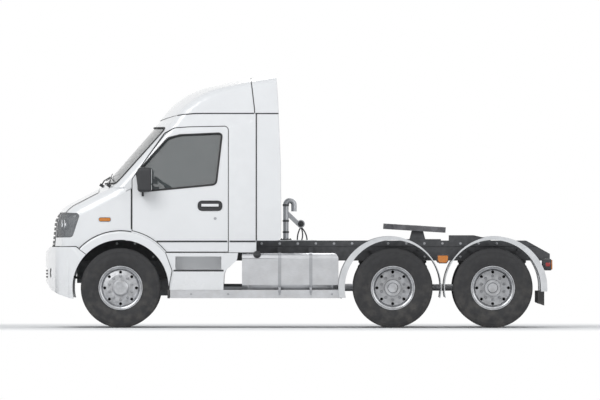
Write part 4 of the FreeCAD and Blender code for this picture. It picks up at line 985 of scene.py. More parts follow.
@dataclass
class Wheels(Assembly):
    """Tyres, nuts and brake shields of all ten wheels."""

    radius: float = 0.5379
    steps: int = 108
    front_y: float = 1.04
    twin_y: tuple[float, float] = (1.087, 0.747)
    nut_count: int = 10
    nut_circle: float = 0.16
    nut_height: float = 0.03
    nut_radius: float = 0.0155
    front_face: float = 1.138
    drive_face: float = 0.931
    front_shield: float = 0.866
    drive_shield: float = 0.562
    notch_margin: float = 0.002
    crown_from: float = 0.53
    steer: TyreTread = TyreTread((-0.078, -0.027, 0.027, 0.078), 0.088, 0.124, 0.004)
    drive: TyreTread = TyreTread((-0.07, 0.0, 0.07), 0.01, 0.124, 0.013)
    # distance from the tyre's middle, and radius
    wall: Profile = (
        (0.1165, 0.289), (0.12, 0.3005), (0.1335, 0.305), (0.137, 0.313), (0.1375, 0.321), (0.1455, 0.342),
        (0.153, 0.37), (0.1568, 0.4), (0.1572, 0.404), (0.1572, 0.43), (0.156, 0.434), (0.1555, 0.456),
        (0.1515, 0.48), (0.1525, 0.483), (0.1515, 0.487), (0.149, 0.493), (0.147, 0.506), (0.1425, 0.519),
        (0.137, 0.528), (0.129, 0.5355), (0.123, 0.5375),
    )
    # distance from the groove's middle, and depth
    groove: Profile = ((-0.0075, 0.0), (-0.0045, 0.014), (0.0045, 0.014), (0.0075, 0.0))
    # distance outwards, and radius
    shield_profile: Profile = (
        (0.0, 0.06), (0.0, 0.235), (0.006, 0.243), (0.006, 0.262), (0.009, 0.262), (0.009, 0.24), (0.003, 0.232),
        (0.003, 0.06),
    )

    def profile(self, tread: TyreTread) -> list[Flat]:
        """Half-section of a tyre.

        Args:
            tread: How its tread is cut.

        Returns:
            Distances along the axle and radii, from bead to bead.
        """
        near = [(-along, radius) for along, radius in self.wall]
        crown = [(place + offset, self.radius - drop) for place in tread.grooves for offset, drop in self.groove]
        return near + crown + list(reversed(self.wall))

    def tyre(self, name: str, tread: TyreTread) -> Piece:
        """One tyre with its tread blocks, about the origin.

        Args:
            name: Its name.
            tread: How its tread is cut.

        Returns:
            The piece.
        """
        piece = self.turned(name, self.profile(tread), (0.0, 0.0, 0.0), self.steps)

        def notch(face: Any) -> bool:
            """Faces of the shoulder ribs, one in so many round the tyre."""
            spot = face.center
            turn = math.atan2(spot.z, spot.x) / (2.0 * math.pi) * self.steps
            on_rib = tread.notch_from < abs(spot.y) < tread.notch_to
            outwards = abs(face.normal.y) < 0.3 and math.hypot(spot.x, spot.z) > self.crown_from
            return on_rib and outwards and round(turn - 0.5) % tread.every == (0 if spot.y > 0 else 1)

        return self.sunk(piece, notch, self.notch_margin, -tread.notch_depth, each=True)

    def nut(self, name: str, centre: Point, inner_y: float, outer_y: float, radius: float) -> Piece:
        """A hexagonal nut with a washer and a stud, facing along the axle.

        Args:
            name: Its name.
            centre: A point of the line that it faces along.
            inner_y: The washer's inner face.
            outer_y: The stud's end.
            radius: The nut's radius.

        Returns:
            The piece.
        """
        x, _, z = centre
        step = (outer_y - inner_y) / 5.0
        washer = self.drum(name, (x, inner_y, z), (x, inner_y + step, z), radius * 1.3, 16)
        body = self.drum(name, (x, inner_y + step, z), (x, outer_y - step, z), radius, 6)
        stud = self.drum(name, (x, outer_y - step, z), (x, outer_y, z), radius * 0.5, 10)
        self.bevelled(body, radius * 0.12, 1)
        return self.joined(name, [washer, body, stud])

    def nuts(self, name: str, axle_x: float, face: float, side: float, body: str) -> None:
        """The nuts round a wheel's hub, on a face at a distance from the vehicle's middle."""
        first = self.nut(name, (axle_x, 0.0, AXLE_Z + self.nut_circle), side * face, side * (face + self.nut_height),
                         self.nut_radius)
        self.fit(self.ring(first, self.nut_count, (axle_x, 0.0, AXLE_Z)), "shaft_steel", body)

    def shield(self, name: str, axle_x: float, width: float, side: float, body: str) -> None:
        """The pressed shield behind a wheel's brake, at a width from the vehicle's middle."""
        disc = self.turned(name, self.shield_profile, (axle_x, side * width, AXLE_Z), 64, (0.0, side, 0.0))
        self.fit(disc, "chassis_steel", body)

    def build(self) -> None:
        """Build and fit all the wheels' pieces."""
        for side_name, side in SIDES:
            body = "wheel_front_" + side_name
            tyre = self.tyre("steer_tyre_" + side_name, self.steer)
            tyre.data.transform(Matrix.Translation((FRONT_AXLE, side * self.front_y, AXLE_Z)))
            self.fit(tyre, "tyre", body, "front_tyre_" + side_name)
            self.nuts("steer_nuts_" + side_name, FRONT_AXLE, self.front_face, side, body)
            self.shield("brake_shield_front_" + side_name, FRONT_AXLE, self.front_shield, side,
                        "steering_" + side_name)
        master = self.tyre("drive_tyre", self.drive)
        for row, axle_x in DRIVE_AXLES:
            for side_name, side in SIDES:
                name = "%s_%s" % (row, side_name)
                twins = [self.copied(master, Matrix.Translation((axle_x, side * width, AXLE_Z)),
                                     "drive_pair_" + name) for width in self.twin_y]
                body = "wheels_drive_" + name
                self.fit_joined("drive_pair_" + name, twins, "tyre", body, "drive_tyres_" + name)
                self.nuts("drive_nuts_" + name, axle_x, self.drive_face, side, body)
                self.shield("brake_shield_" + name, axle_x, self.drive_shield, side, "chassis")
        bpy.data.objects.remove(master)


# ---- cab


@dataclass
class CabSide:
    """The curve that every cross-section of the cab's side follows."""

    sill: Flat = (1.125, 0.95)
    waist: Flat = (1.14, 1.6)
    roof: Flat = (1.01, 2.893)

    def circle(self) -> tuple[float, float, float]:
        """Centre's width, centre's height and radius of the curve."""
        (a, b), (c, d), (e, f) = self.sill, self.waist, self.roof
        twice = 2.0 * (a * (d - f) + c * (f - b) + e * (b - d))
        across = ((a * a + b * b) * (d - f) + (c * c + d * d) * (f - b) + (e * e + f * f) * (b - d)) / twice
        up = ((a * a + b * b) * (e - c) + (c * c + d * d) * (a - e) + (e * e + f * f) * (c - a)) / twice
        return across, up, math.hypot(a - across, b - up)

    def half(self, height: float) -> float:
        """Half-width of the cab at a height."""
        across, up, radius = self.circle()
        return across + math.sqrt(radius ** 2 - (height - up) ** 2)

    def lay(self, outline: Outline, proud: float = 0.0, side: float = LEFT) -> list[Point]:
        """An outline of places behind the front axle and heights, laid on the cab's side."""
        return [(FRONT_AXLE + across, side * (self.half(up) + proud), up) for across, up in outline]


def divided(outline: Outline, longest: float) -> list[Flat]:
    """Put more points on an outline's long runs, so that it bends with the side.

    Args:
        outline: A closed outline.
        longest: The longest run that is left.

    Returns:
        The outline with its runs divided.
    """
    points: list[Flat] = []
    for index, (across, up) in enumerate(outline):
        further, higher = outline[(index + 1) % len(outline)]
        pieces = max(1, math.ceil(math.hypot(further - across, higher - up) / longest))
        for step in range(pieces):
            share = step / pieces
            points.append((across + (further - across) * share, up + (higher - up) * share))
    return points


@dataclass
class DoorDress(Assembly):
    """Seals, window rubber, handle, strips and lining of the doors.

    Outlines are distances behind the front axle, and heights.
    """

    side: CabSide
    arch: float = 0.782
    arch_start: float = 0.154
    foot: float = 1.022
    longest_run: float = 0.12
    frame: Corners = (
        (1.455, 1.022, 0.03), (1.455, 2.722, 0.06), (0.937, 2.714, 0.0), (0.735, 2.701, 0.09), (0.592, 2.627, 0.09),
        (0.154, 2.008, 0.06),
    )
    window: Corners = (
        (0.215, 2.09, 0.045), (0.252, 1.836, 0.045), (1.072, 1.914, 0.06), (1.288, 1.935, 0.07),
        (1.37, 2.628, 0.05), (0.802, 2.603, 0.12), (0.634, 2.56, 0.11),
    )
    lining: Corners = ((0.33, 1.2, 0.05), (1.4, 1.06, 0.05), (1.4, 1.9, 0.05), (0.33, 1.79, 0.05))
    seal_radius: float = 0.0078
    seal_depth: float = 0.009
    rubber_radius: float = 0.0125
    cup_low: Flat = (-1.357, 1.582)
    cup_high: Flat = (-1.033, 1.712)
    cup_corner: float = 0.062
    lock_place: Flat = (-1.126, 1.475)
    # distance outwards, and radius
    lock: Profile = ((0.0, 0.0), (0.0, 0.019), (0.006, 0.019), (0.009, 0.016), (0.007, 0.01), (0.007, 0.0))
    strip_height: float = 1.166
    strip_half: float = 0.011
    lining_depth: float = 0.0665
    arm_rest: Slab = Slab((FRONT_AXLE + 0.62, -1.075, 1.52), (FRONT_AXLE + 1.18, -1.01, 1.57), 0.015, 3)

    def opening(self) -> list[Flat]:
        """The edge of the door's opening, with the arch's curve at its front foot."""
        rise = self.foot - AXLE_Z
        start = math.degrees(math.atan2(rise, math.sqrt(self.arch ** 2 - rise ** 2)))
        end = math.degrees(math.acos(self.arch_start / self.arch))
        return arc((0.0, AXLE_Z), self.arch, start, end, 13) + list(reversed(rounded(self.frame)))

    def seals(self) -> None:
        """The dark seal that shows in the gap round each door."""
        outline = divided(self.opening(), self.longest_run)
        for name, side in SIDES:
            path = self.side.lay(outline, -self.seal_depth, side)
            self.fit(self.strip("door_seal_" + name, path, self.seal_radius, closed=True), "rubber")

    def window_rubber(self) -> None:
        """The rubber round each door's glass."""
        outline = divided(rounded(self.window), self.longest_run)
        for name, side in SIDES:
            path = self.side.lay(outline, 0.001, side)
            rubber = self.strip("window_rubber_" + name, path, self.rubber_radius, closed=True, sides=3)
            self.fit(rubber, "rubber", name + "_door")

    def handle(self) -> None:
        """The handle's dished cup, its grip and the lock below it."""
        (front, bottom), (rear, top) = self.cup_low, self.cup_high
        height = (bottom + top) / 2.0
        skin = self.side.half(height)
        outline = oblong(self.cup_low, self.cup_high, self.cup_corner, 8)
        cup = self.plate("handle_cup", outline, lambda x, z: (x, -(self.side.half(z) + 0.001), z), 0.008)
        parts = [self.block("handle_grip", (front + 0.045, -skin - 0.034, height - 0.012),
                            (rear - 0.045, -skin - 0.016, height + 0.026), 0.008, 3)]
        for x in (front + 0.048, rear - 0.078):
            parts.append(self.block("handle_foot", (x, -skin - 0.024, height - 0.006),
                                    (x + 0.03, -skin + 0.004, height + 0.02), 0.004))
        grip = self.joined("door_grip", parts)
        x, z = self.lock_place
        lock = self.turned("door_lock", self.lock, (x, -self.side.half(z), z), 32, OUTWARDS)
        rim = self.strip("handle_rim", [(x, -(self.side.half(z) + 0.004), z) for x, z in outline], 0.0055,
                         closed=True)
        self.fit_both(self.joined("door_cup", [cup, rim]), "black_plastic", DOORS)
        self.fit_both(grip, "paint", DOORS)
        self.fit_both(lock, "shaft_steel", DOORS)

    def rubbing_strips(self) -> None:
        """The moulding line low on the doors, carried on along the cab behind them."""
        height, skin, half = self.strip_height, self.side.half(self.strip_height), self.strip_half
        arch_x = math.sqrt(self.arch ** 2 - (height - AXLE_Z) ** 2)
        for name, start, end, bodies in (("door_strip", arch_x + 0.02, 1.44, DOORS),
                                         ("sill_strip", 1.47, 1.825, CHASSIS)):
            strip = self.block(name, (FRONT_AXLE + start, -skin - 0.007, height - half),
                               (FRONT_AXLE + end, -skin + 0.003, height + half), 0.005, 3)
            self.fit_both(strip, "black_plastic", bodies)

    def inner_panels(self) -> None:
        """The lining of the doors' inner face, seen through the glass."""
        panel = self.plate("door_lining", divided(rounded(self.lining), 0.15),
                           lambda x, z: (FRONT_AXLE + x, -(self.side.half(z) - self.lining_depth), z), 0.009)
        rest = self.slab("arm_rest", self.arm_rest)
        self.fit_both(self.joined("door_lining", [panel, rest]), "fascia_plastic", DOORS)

    def build(self) -> None:
        """Build and fit all the doors' pieces."""
        for make in (self.seals, self.window_rubber, self.handle, self.rubbing_strips, self.inner_panels):
            make()


@dataclass
class MirrorDress(Assembly):
    """Glass and seams of the door mirrors."""

    low: Point = (-2.172, -1.4, 1.833)
    high: Point = (-1.983, -1.185, 2.164)
    border: float = 0.022
    pane_corner: float = 0.018
    # name of each pane, and heights of its lower and upper edges above the mirror's foot
    panes: tuple[tuple[str, float, float], ...] = (("mirror_main", 0.11, 0.307), ("mirror_wide", 0.022, 0.098))
    seam_radius: float = 0.0035
    seam_gap: float = 0.0005
    seam_corner: float = 0.046

    def build(self) -> None:
        """Build and fit the mirrors' pieces."""
        (front, outer, foot), (rear, inner, top) = self.low, self.high
        panes = []
        for name, bottom, height in self.panes:
            outline = oblong((outer + self.border, foot + bottom), (inner - self.border, foot + height),
                             self.pane_corner)
            panes.append(self.plate(name, outline, lambda y, z: (rear + 0.0015, y, z), 0.004))
        self.fit_both(self.joined("mirror_pane", panes), "mirror_glass", DOORS)
        # The outer run lies within the mirror, which is the vehicle's widest place.
        ring = oblong((outer + self.seam_radius + 0.0001, foot - self.seam_gap),
                      (inner + self.seam_gap, top + self.seam_gap), self.seam_corner, 8)
        seam = self.strip("mirror_seam", [((front + rear) / 2.0, y, z) for y, z in ring], self.seam_radius,
                          closed=True)
        self.fit_both(seam, "rubber", DOORS)


@dataclass
class Front:
    """The surfaces of the nose, windscreen and bumper, as places for what is fitted to them."""

    bumper_radius: float = 4.129
    nose_foot: float = 1.091
    nose_bend: float = 1.398
    screen_reach: float = -1.056
    screen_foot: float = 0.985
    screen_slope: float = 0.875
    # how much further along the vehicle the screen lies than square out from it
    screen_slant: float = 1.33

    @staticmethod
    def about_axis(reach: float, width: float) -> float:
        """Place, at a width, of a surface that curves about the plan axis from its reach in the middle."""
        radius = PLAN_AXIS - FRONT_AXLE - reach
        return PLAN_AXIS - math.sqrt(radius ** 2 - width ** 2)

    def nose(self, height: float, width: float, inset: float = 0.0) -> Point:
        """A point of the nose's front, drawn in by an inset.

        Args:
            height: The point's height.
            width: Its distance from the vehicle's middle.
            inset: How far it is drawn in.

        Returns:
            The point.
        """
        reach = -0.939 + 0.03 * max(0.0, min(1.0, (height - self.nose_foot) / (self.nose_bend - self.nose_foot)))
        if height > self.nose_bend:
            reach = -0.909 + 0.174 * ((height - self.nose_bend) / 0.253) ** 1.7
        return self.about_axis(reach + inset, width), width, height

    def screen(self, height: float, width: float, proud: float = 0.0) -> Point:
        """A point of the windscreen, standing out by a distance."""
        reach = self.screen_reach + (height - self.screen_foot) * self.screen_slope
        return self.about_axis(reach - proud * self.screen_slant, width), width, height

    def bumper(self, height: float, width: float, proud: float = 0.0) -> Point:
        """A point of the bumper's face, standing out by a distance."""
        return PLAN_AXIS - math.sqrt((self.bumper_radius + proud) ** 2 - width ** 2), width, height

    @staticmethod
    def inwards(place: Point) -> Point:
        """The direction square into the bumper's face at a place."""
        return PLAN_AXIS - place[0], -place[1], 0.0


class Skin:
    """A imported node's surface, which thin pieces are laid on."""

    def __init__(self, node: Piece) -> None:
        """Keep the node."""
        self.node = node

    def lay(self, spot: Sequence[float], proud: float = 0.0) -> Point:
        """The surface's nearest point to a spot, moved out along its normal."""
        _, place, normal, _ = self.node.closest_point_on_mesh(Vector(spot))
        return tuple(place + normal * proud)


@dataclass
class BodyDress(Assembly):
    """Seams, glass rubber, wipers, lamps, grille and bumper fittings of the cab's body."""

    side: CabSide
    front: Front
    nodes: dict[str, Piece]
    # width, height, corner radius
    screen_outline: Corners = (
        (-1.015, 1.945, 0.09), (1.015, 1.945, 0.09), (0.945, 2.7, 0.11), (-0.945, 2.7, 0.11),
    )
    roof_bend: float = 0.532
    roof_low: float = 2.797
    roof_rise: float = 0.096
    roof_places: tuple[float, ...] = (0.7, 0.74, 0.8, 0.9, 1.0, 1.1, 1.25, 1.4, 1.6, 1.745, 1.8)
    seam_radius: float = 0.008
    fairing_split: float = 1.805
    fairing_middle: float = 2.9
    wing_end: float = 0.1445
    wing_heights: tuple[float, ...] = (1.33, 1.42, 1.52, 1.62, 1.72, 1.8, 1.875)
    flare_radius: float = 0.772
    bumper_top: float = 1.0965
    # distance behind the front axle, and height; then distance and width
    seal_foot: Profile = ((-0.467, 0.992), (-0.56, 1.06))
    seal_wing: Profile = ((-0.66, 1.16), (-0.72, 1.15), (-0.77, 1.12), (-0.81, 1.07), (-0.84, 1.02))
    repeater_low: Flat = (-2.691, 1.44)
    repeater_high: Flat = (-2.541, 1.484)
    # widths between which each blade sweeps
    blades: Profile = ((-0.84, -0.1), (-0.02, 0.74))
    bonnet_edge: float = 0.8895
    lamp_widths: Flat = (0.75, 0.925)
    lamp_height: float = 1.385
    # distance backwards, and radius
    bowl: Profile = (
        (0.05, 0.0), (0.05, 0.018), (0.045, 0.034), (0.03, 0.052), (0.0, 0.07), (-0.006, 0.074),
        (-0.006, 0.078), (0.004, 0.078), (0.04, 0.058), (0.056, 0.034), (0.058, 0.0),
    )
    eye: Profile = ((0.04, 0.0), (0.04, 0.03), (0.01, 0.032), (0.004, 0.028), (-0.004, 0.016), (-0.008, 0.0))
    grille_low: float = 1.112
    grille_high: float = 1.545
    grille_half: float = 0.6
    grille_bars: int = 7
    bar_pitch: float = 0.06
    intake_half: float = 0.56
    intake: Flat = (0.655, 0.805)
    fog_place: Flat = (0.8, 0.74)
    fog_ring: Profile = (
        (0.03, 0.0), (0.03, 0.048), (0.004, 0.052), (0.001, 0.058), (0.001, 0.0665), (0.033, 0.0675), (0.033, 0.0),
    )
    fog_lens: Profile = ((0.028, 0.0), (0.028, 0.046), (0.012, 0.049), (0.006, 0.03), (0.004, 0.0))

    def seam_height(self, reach: float) -> float:
        """Height of the seam between cab and fairing, at a distance behind the front axle."""
        if reach < self.roof_bend:
            return self.roof_low - (self.roof_bend - reach) * 0.1717
        share = min(1.0, (reach - self.roof_bend) / 0.54)
        return self.roof_low + self.roof_rise * (1.0 - (1.0 - share) ** 1.75)

    def roof_seam(self) -> None:
        """The seam round the cab between its roof and the fairing."""
        skin = Skin(self.nodes["roof_fairing"])
        path = []
        for width in spread(0.0, 0.96, 19):
            height = self.roof_low
            for _ in range(8):
                x = self.front.screen(height, width)[0]
                height = self.seam_height(x - FRONT_AXLE)
            path.append(skin.lay((x, -width, height + 0.001), 0.0015))
        for reach in self.roof_places:
            height = self.seam_height(reach)
            path.append(skin.lay((FRONT_AXLE + reach, -self.side.half(height), height + 0.001), 0.0015))
        self.fit(self.whole("roof_seam", path, self.seam_radius), "rubber")

    def panel_seams(self) -> None:
        """The upright seam where each side deflector meets the cab, and the deflector's own top edge."""
        upright = [(1.832, height) for height in spread(1.18, 2.89, 13)]
        level = [(reach, 2.893) for reach in spread(1.82, 2.13, 5)]
        runs = [self.strip("deflector_seam", self.side.lay(run, 0.0012), self.seam_radius)
                for run in (upright, level)]
        self.fit_both(self.joined("deflector_seam", runs), "rubber")

    def fairing_seam(self) -> None:
        """The seam over the roof between the fairing and the hoop behind it."""
        path = []
        for degrees in spread(0.0, 90.0, 31):
            turn = math.radians(degrees)
            outwards = Vector((0.0, -math.cos(turn), math.sin(turn)))
            height = 3.0
            for _ in range(4):
                split = FRONT_AXLE + self.fairing_split - 0.051 * max(0.0, min(1.0, (height - 2.94) / 0.423))
                start = Vector((split - 0.0015, 0.0, self.fairing_middle)) + outwards * 2.0
                _, place, normal, _ = self.nodes["roof_fairing"].ray_cast(start, -outwards)
                height = place.z
            path.append((split + 0.0045, place.y + normal.y * 0.001, place.z + normal.z * 0.001))
        self.fit(self.whole("fairing_seam", path, 0.0065), "rubber")

    def wing_seam(self) -> None:
        """The seam between each front wing and the cab, up from the arch to the windscreen's foot."""
        skin = Skin(self.nodes["front_wings"])
        path = [skin.lay((FRONT_AXLE + self.wing_end, -self.side.half(height), height), 0.001)
                for height in self.wing_heights]
        self.fit_both(self.strip("wing_seam", path, 0.0075), "rubber")

    def flare_seams(self) -> None:
        """The rubber along each flare's outer edge, and the seal between bumper, flares and nose."""
        skin = Skin(self.nodes["front_wings"])
        for name, side in SIDES:
            path = [skin.lay((x, side * 1.16, z), 0.001)
                    for x, z in arc((FRONT_AXLE, AXLE_Z), self.flare_radius, 136.5, 78.9, 17)]
            self.fit(self.strip("flare_seal_" + name, path, 0.0075), "rubber")
        height = self.bumper_top
        foot = [(FRONT_AXLE + reach, -1.2215, up) for reach, up in self.seal_foot]
        foot += [skin.lay((FRONT_AXLE + reach, -1.16, up)) for reach, up in ((-0.568, 1.074), (-0.602, height))]
        foot += [skin.lay((FRONT_AXLE + reach, -width, height)) for reach, width in self.seal_wing]
        foot += [self.front.nose(height, width, 0.001) for width in spread(-0.95, -0.05, 10)]
        self.fit(self.whole("bumper_seal", foot, 0.006), "rubber")

    def repeaters(self) -> None:
        """The small lamp on each front wing."""
        skin = Skin(self.nodes["front_wings"])
        outline = oblong(self.repeater_low, self.repeater_high, 0.02, 5)
        lens = self.plate("side_repeater", outline, lambda x, z: skin.lay((x, -1.135, z), 0.005), 0.012)
        rim = self.strip("repeater_rim", [skin.lay((x, -1.135, z), 0.004) for x, z in outline], 0.006, closed=True)
        self.fit_both(lens, "lamp_amber")
        self.fit_both(rim, "black_plastic")

    def screen_rubber(self) -> None:
        """The rubber round the windscreen."""
        outline = divided(rounded(self.screen_outline, 8), 0.08)
        path = [self.front.screen(z, y, 0.001) for y, z in outline]
        self.fit(self.strip("screen_rubber", path, 0.013, closed=True, sides=3), "rubber")

    def wipers(self) -> None:
        """Two wiper arms with their blades, parked along the windscreen's foot."""
        pieces = []
        for start, end in self.blades:
            pivot = Vector(self.front.screen(1.925, start, 0.03))
            elbow = Vector(self.front.screen(1.985, start + 0.06, 0.042))
            tip = Vector(self.front.screen(2.035, (start + end) / 2.0, 0.034))
            blade = [self.front.screen(1.985 + 0.09 * share, start + 0.02 + (end - start) * share, 0.016)
                     for share in spread(0.0, 1.0, 9)]
            pieces += [self.drum("wiper", pivot + Vector((0.03, 0, -0.02)), pivot + Vector((-0.02, 0, 0.012)),
                                 0.02, 16),
                       self.strip("wiper", [pivot, elbow, tip], 0.0085), self.strip("wiper", blade, 0.0065)]
        self.fit_joined("wipers", pieces, "black_plastic")

    def bonnet_seal(self) -> None:
        """The dark edge round the bonnet's opening."""
        skin = Skin(self.nodes["front_wings"])
        path = [skin.lay((x, -self.bonnet_edge, self.bonnet_height(x, 0.889))) for x in spread(-3.19, -2.705, 15)]
        self.fit_both(self.strip("bonnet_seal", path, 0.0065), "rubber")

    @staticmethod
    def bonnet_height(place: float, width: float) -> float:
        """Height of the bonnet's surface at a place and a width."""
        reach = PLAN_AXIS - math.hypot(PLAN_AXIS - place, width) - FRONT_AXLE
        return 1.651 + (reach + 0.735) * (0.608 / 1.137)

    def lamp_shell(self, name: str, outer: bool, thickness: float) -> Piece:
        """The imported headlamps' outer faces, or all their others, as a closed shell.

        Args:
            name: Its name.
            outer: Whether the outer faces are kept.
            thickness: The shell's thickness, inwards.

        Returns:
            The piece.
        """
        def outside(face: Any) -> bool:
            """Faces that lie on the nose's outer skin."""
            normal, spot = face.normal, face.center
            away = normal.y * math.copysign(1.0, spot.y)
            forward = normal.x < -0.55 and spot.x < -2.95
            sideways = away > 0.6 and abs(spot.y) > 0.9
            return forward or sideways or (normal.x < -0.25 and away > 0.2)

        piece = self.own_copy(self.nodes["headlamps"], name)
        self.pick(piece, lambda face: outside(face) != outer)
        bpy.ops.mesh.delete(type="FACE")
        self.leave()
        return self.modified(piece, "SOLIDIFY", thickness=thickness, offset=-1.0)

    def headlamps(self) -> None:
        """Lens, housing and bowls of each headlamp."""
        self.fit(self.lamp_shell("headlamp_lens", True, 0.004), "lamp_clear", "chassis", "headlamps")
        self.fit(self.lamp_shell("headlamp_housing", False, 0.003), "black_plastic")
        bowls, eyes = [], []
        for width in self.lamp_widths:
            place = Vector(self.front.nose(self.lamp_height, width, 0.045))
            place.y = -width
            bowls.append(self.turned("headlamp_bowls", self.bowl, place, 40, BACKWARDS))
            eyes.append(self.turned("headlamp_eyes", self.eye, place, 32, BACKWARDS))
        self.fit_both(self.joined("headlamp_bowls", bowls), "chrome")
        self.fit_both(self.joined("headlamp_eyes", eyes), "lamp_clear")

    def grille(self) -> None:
        """The grille's back panel, bars and frame."""
        low, high, half = self.grille_low, self.grille_high, self.grille_half
        pieces = [self.sheet("grille_back", (-half, half), (low, high), (24, 8),
                             lambda y, z: self.front.nose(z, y, 0.028), 0.006)]
        for index in range(self.grille_bars):
            foot = low + 0.021 + index * self.bar_pitch
            pieces.append(self.sheet("grille_bar", (-half + 0.012, half - 0.012), (foot, foot + 0.038), (24, 2),
                                     lambda y, z: self.front.nose(z, y, 0.009), 0.014))
        across = spread(-half, half, 7)
        frame = [(y, low) for y in across] + [(half, 1.26), (half, 1.4)]
        frame += [(y, high) for y in reversed(across)] + [(-half, 1.4), (-half, 1.26)]
        pieces.append(self.strip("grille_frame", [self.front.nose(z, y, 0.01) for y, z in frame], 0.011, closed=True))
        self.fit_joined("grille_panel", pieces, "black_plastic", "chassis", "grille")

    def on_bumper(self, name: str, across: Flat, up: Flat, cells: tuple[int, int], proud: float,
                  thickness: float) -> Piece:
        """A sheet that follows the bumper's face, standing out by a distance."""
        return self.sheet(name, across, up, cells, lambda y, z: self.front.bumper(z, y, proud), thickness)

    def fog_places(self) -> list[Point]:
        """The middles of the two fog lamps on the bumper's face."""
        width, height = self.fog_place
        return [self.front.bumper(height, side * width) for _, side in SIDES]

    def bumper(self) -> None:
        """The bumper with its intake, fog lamp wells and plate recess cut into its face."""
        half = self.intake_half
        shell = self.own_copy(self.nodes["front_bumper"], "bumper_shell")
        wells = [self.on_bumper("well", (-half, half), self.intake, (20, 1), -0.01, 0.08),
                 self.on_bumper("well", (-0.275, 0.275), (0.845, 0.967), (12, 1), 0.0, 0.016)]
        for place in self.fog_places():
            inwards = Vector(self.front.inwards(place)).normalized()
            start = Vector(place)
            wells.append(self.drum("well", start - inwards * 0.03, start + inwards * 0.035, 0.068, 48))
        self.cut(shell, wells)
        self.true_normals(shell)
        self.fit(shell, "paint", "chassis", "front_bumper")

    def true_normals(self, shell: Piece) -> None:
        """Give the bumper's face the normals of its true curve, which its few long faces only come near."""
        mesh = shell.data
        normals = [(0.0, 0.0, 0.0)] * len(mesh.loops)
        for polygon in mesh.polygons:
            spokes = [mesh.vertices[index].co - Vector((PLAN_AXIS, 0.0, 0.0)) for index in polygon.vertices]
            if all(abs(math.hypot(spoke.x, spoke.y) - self.front.bumper_radius) < 0.0002 for spoke in spokes):
                for loop, spoke in zip(polygon.loop_indices, spokes):
                    normals[loop] = tuple(Vector((spoke.x, spoke.y, 0.0)).normalized())
        mesh.normals_split_custom_set(normals)

    def bumper_fittings(self) -> None:
        """The bars in the bumper's intake, its blank plate and its fog lamps."""
        half, (low, high) = self.intake_half, self.intake
        black = [self.on_bumper("bumper_intake", (-half + 0.002, half - 0.002), (low + 0.002, high - 0.002), (20, 4),
                                -0.03, 0.006)]
        for foot in (0.672, 0.714, 0.756):
            black.append(self.on_bumper("bumper_bar", (-half + 0.004, half - 0.004), (foot, foot + 0.022), (20, 1),
                                        -0.01, 0.016))
        places = self.fog_places()
        black += [self.turned("fog_ring", self.fog_ring, place, 40, self.front.inwards(place)) for place in places]
        self.fit_joined("bumper_trim", black, "black_plastic")
        glass = [self.turned("fog_lens", self.fog_lens, place, 32, self.front.inwards(place)) for place in places]
        self.fit_joined("fog_lenses", glass, "chrome")
        plate = self.on_bumper("front_plate", (-0.26, 0.26), (0.853, 0.959), (10, 2), -0.005, 0.005)
        self.fit(self.bevelled(plate, 0.001, 1), "mudguard_white")

    def build(self) -> None:
        """Build and fit all the body's pieces."""
        for make in (self.roof_seam, self.panel_seams, self.wing_seam, self.repeaters, self.screen_rubber,
                     self.wipers, self.bonnet_seal, self.headlamps, self.fairing_seam, self.flare_seams, self.grille,
                     self.bumper, self.bumper_fittings):
            make()


# ---- chassis


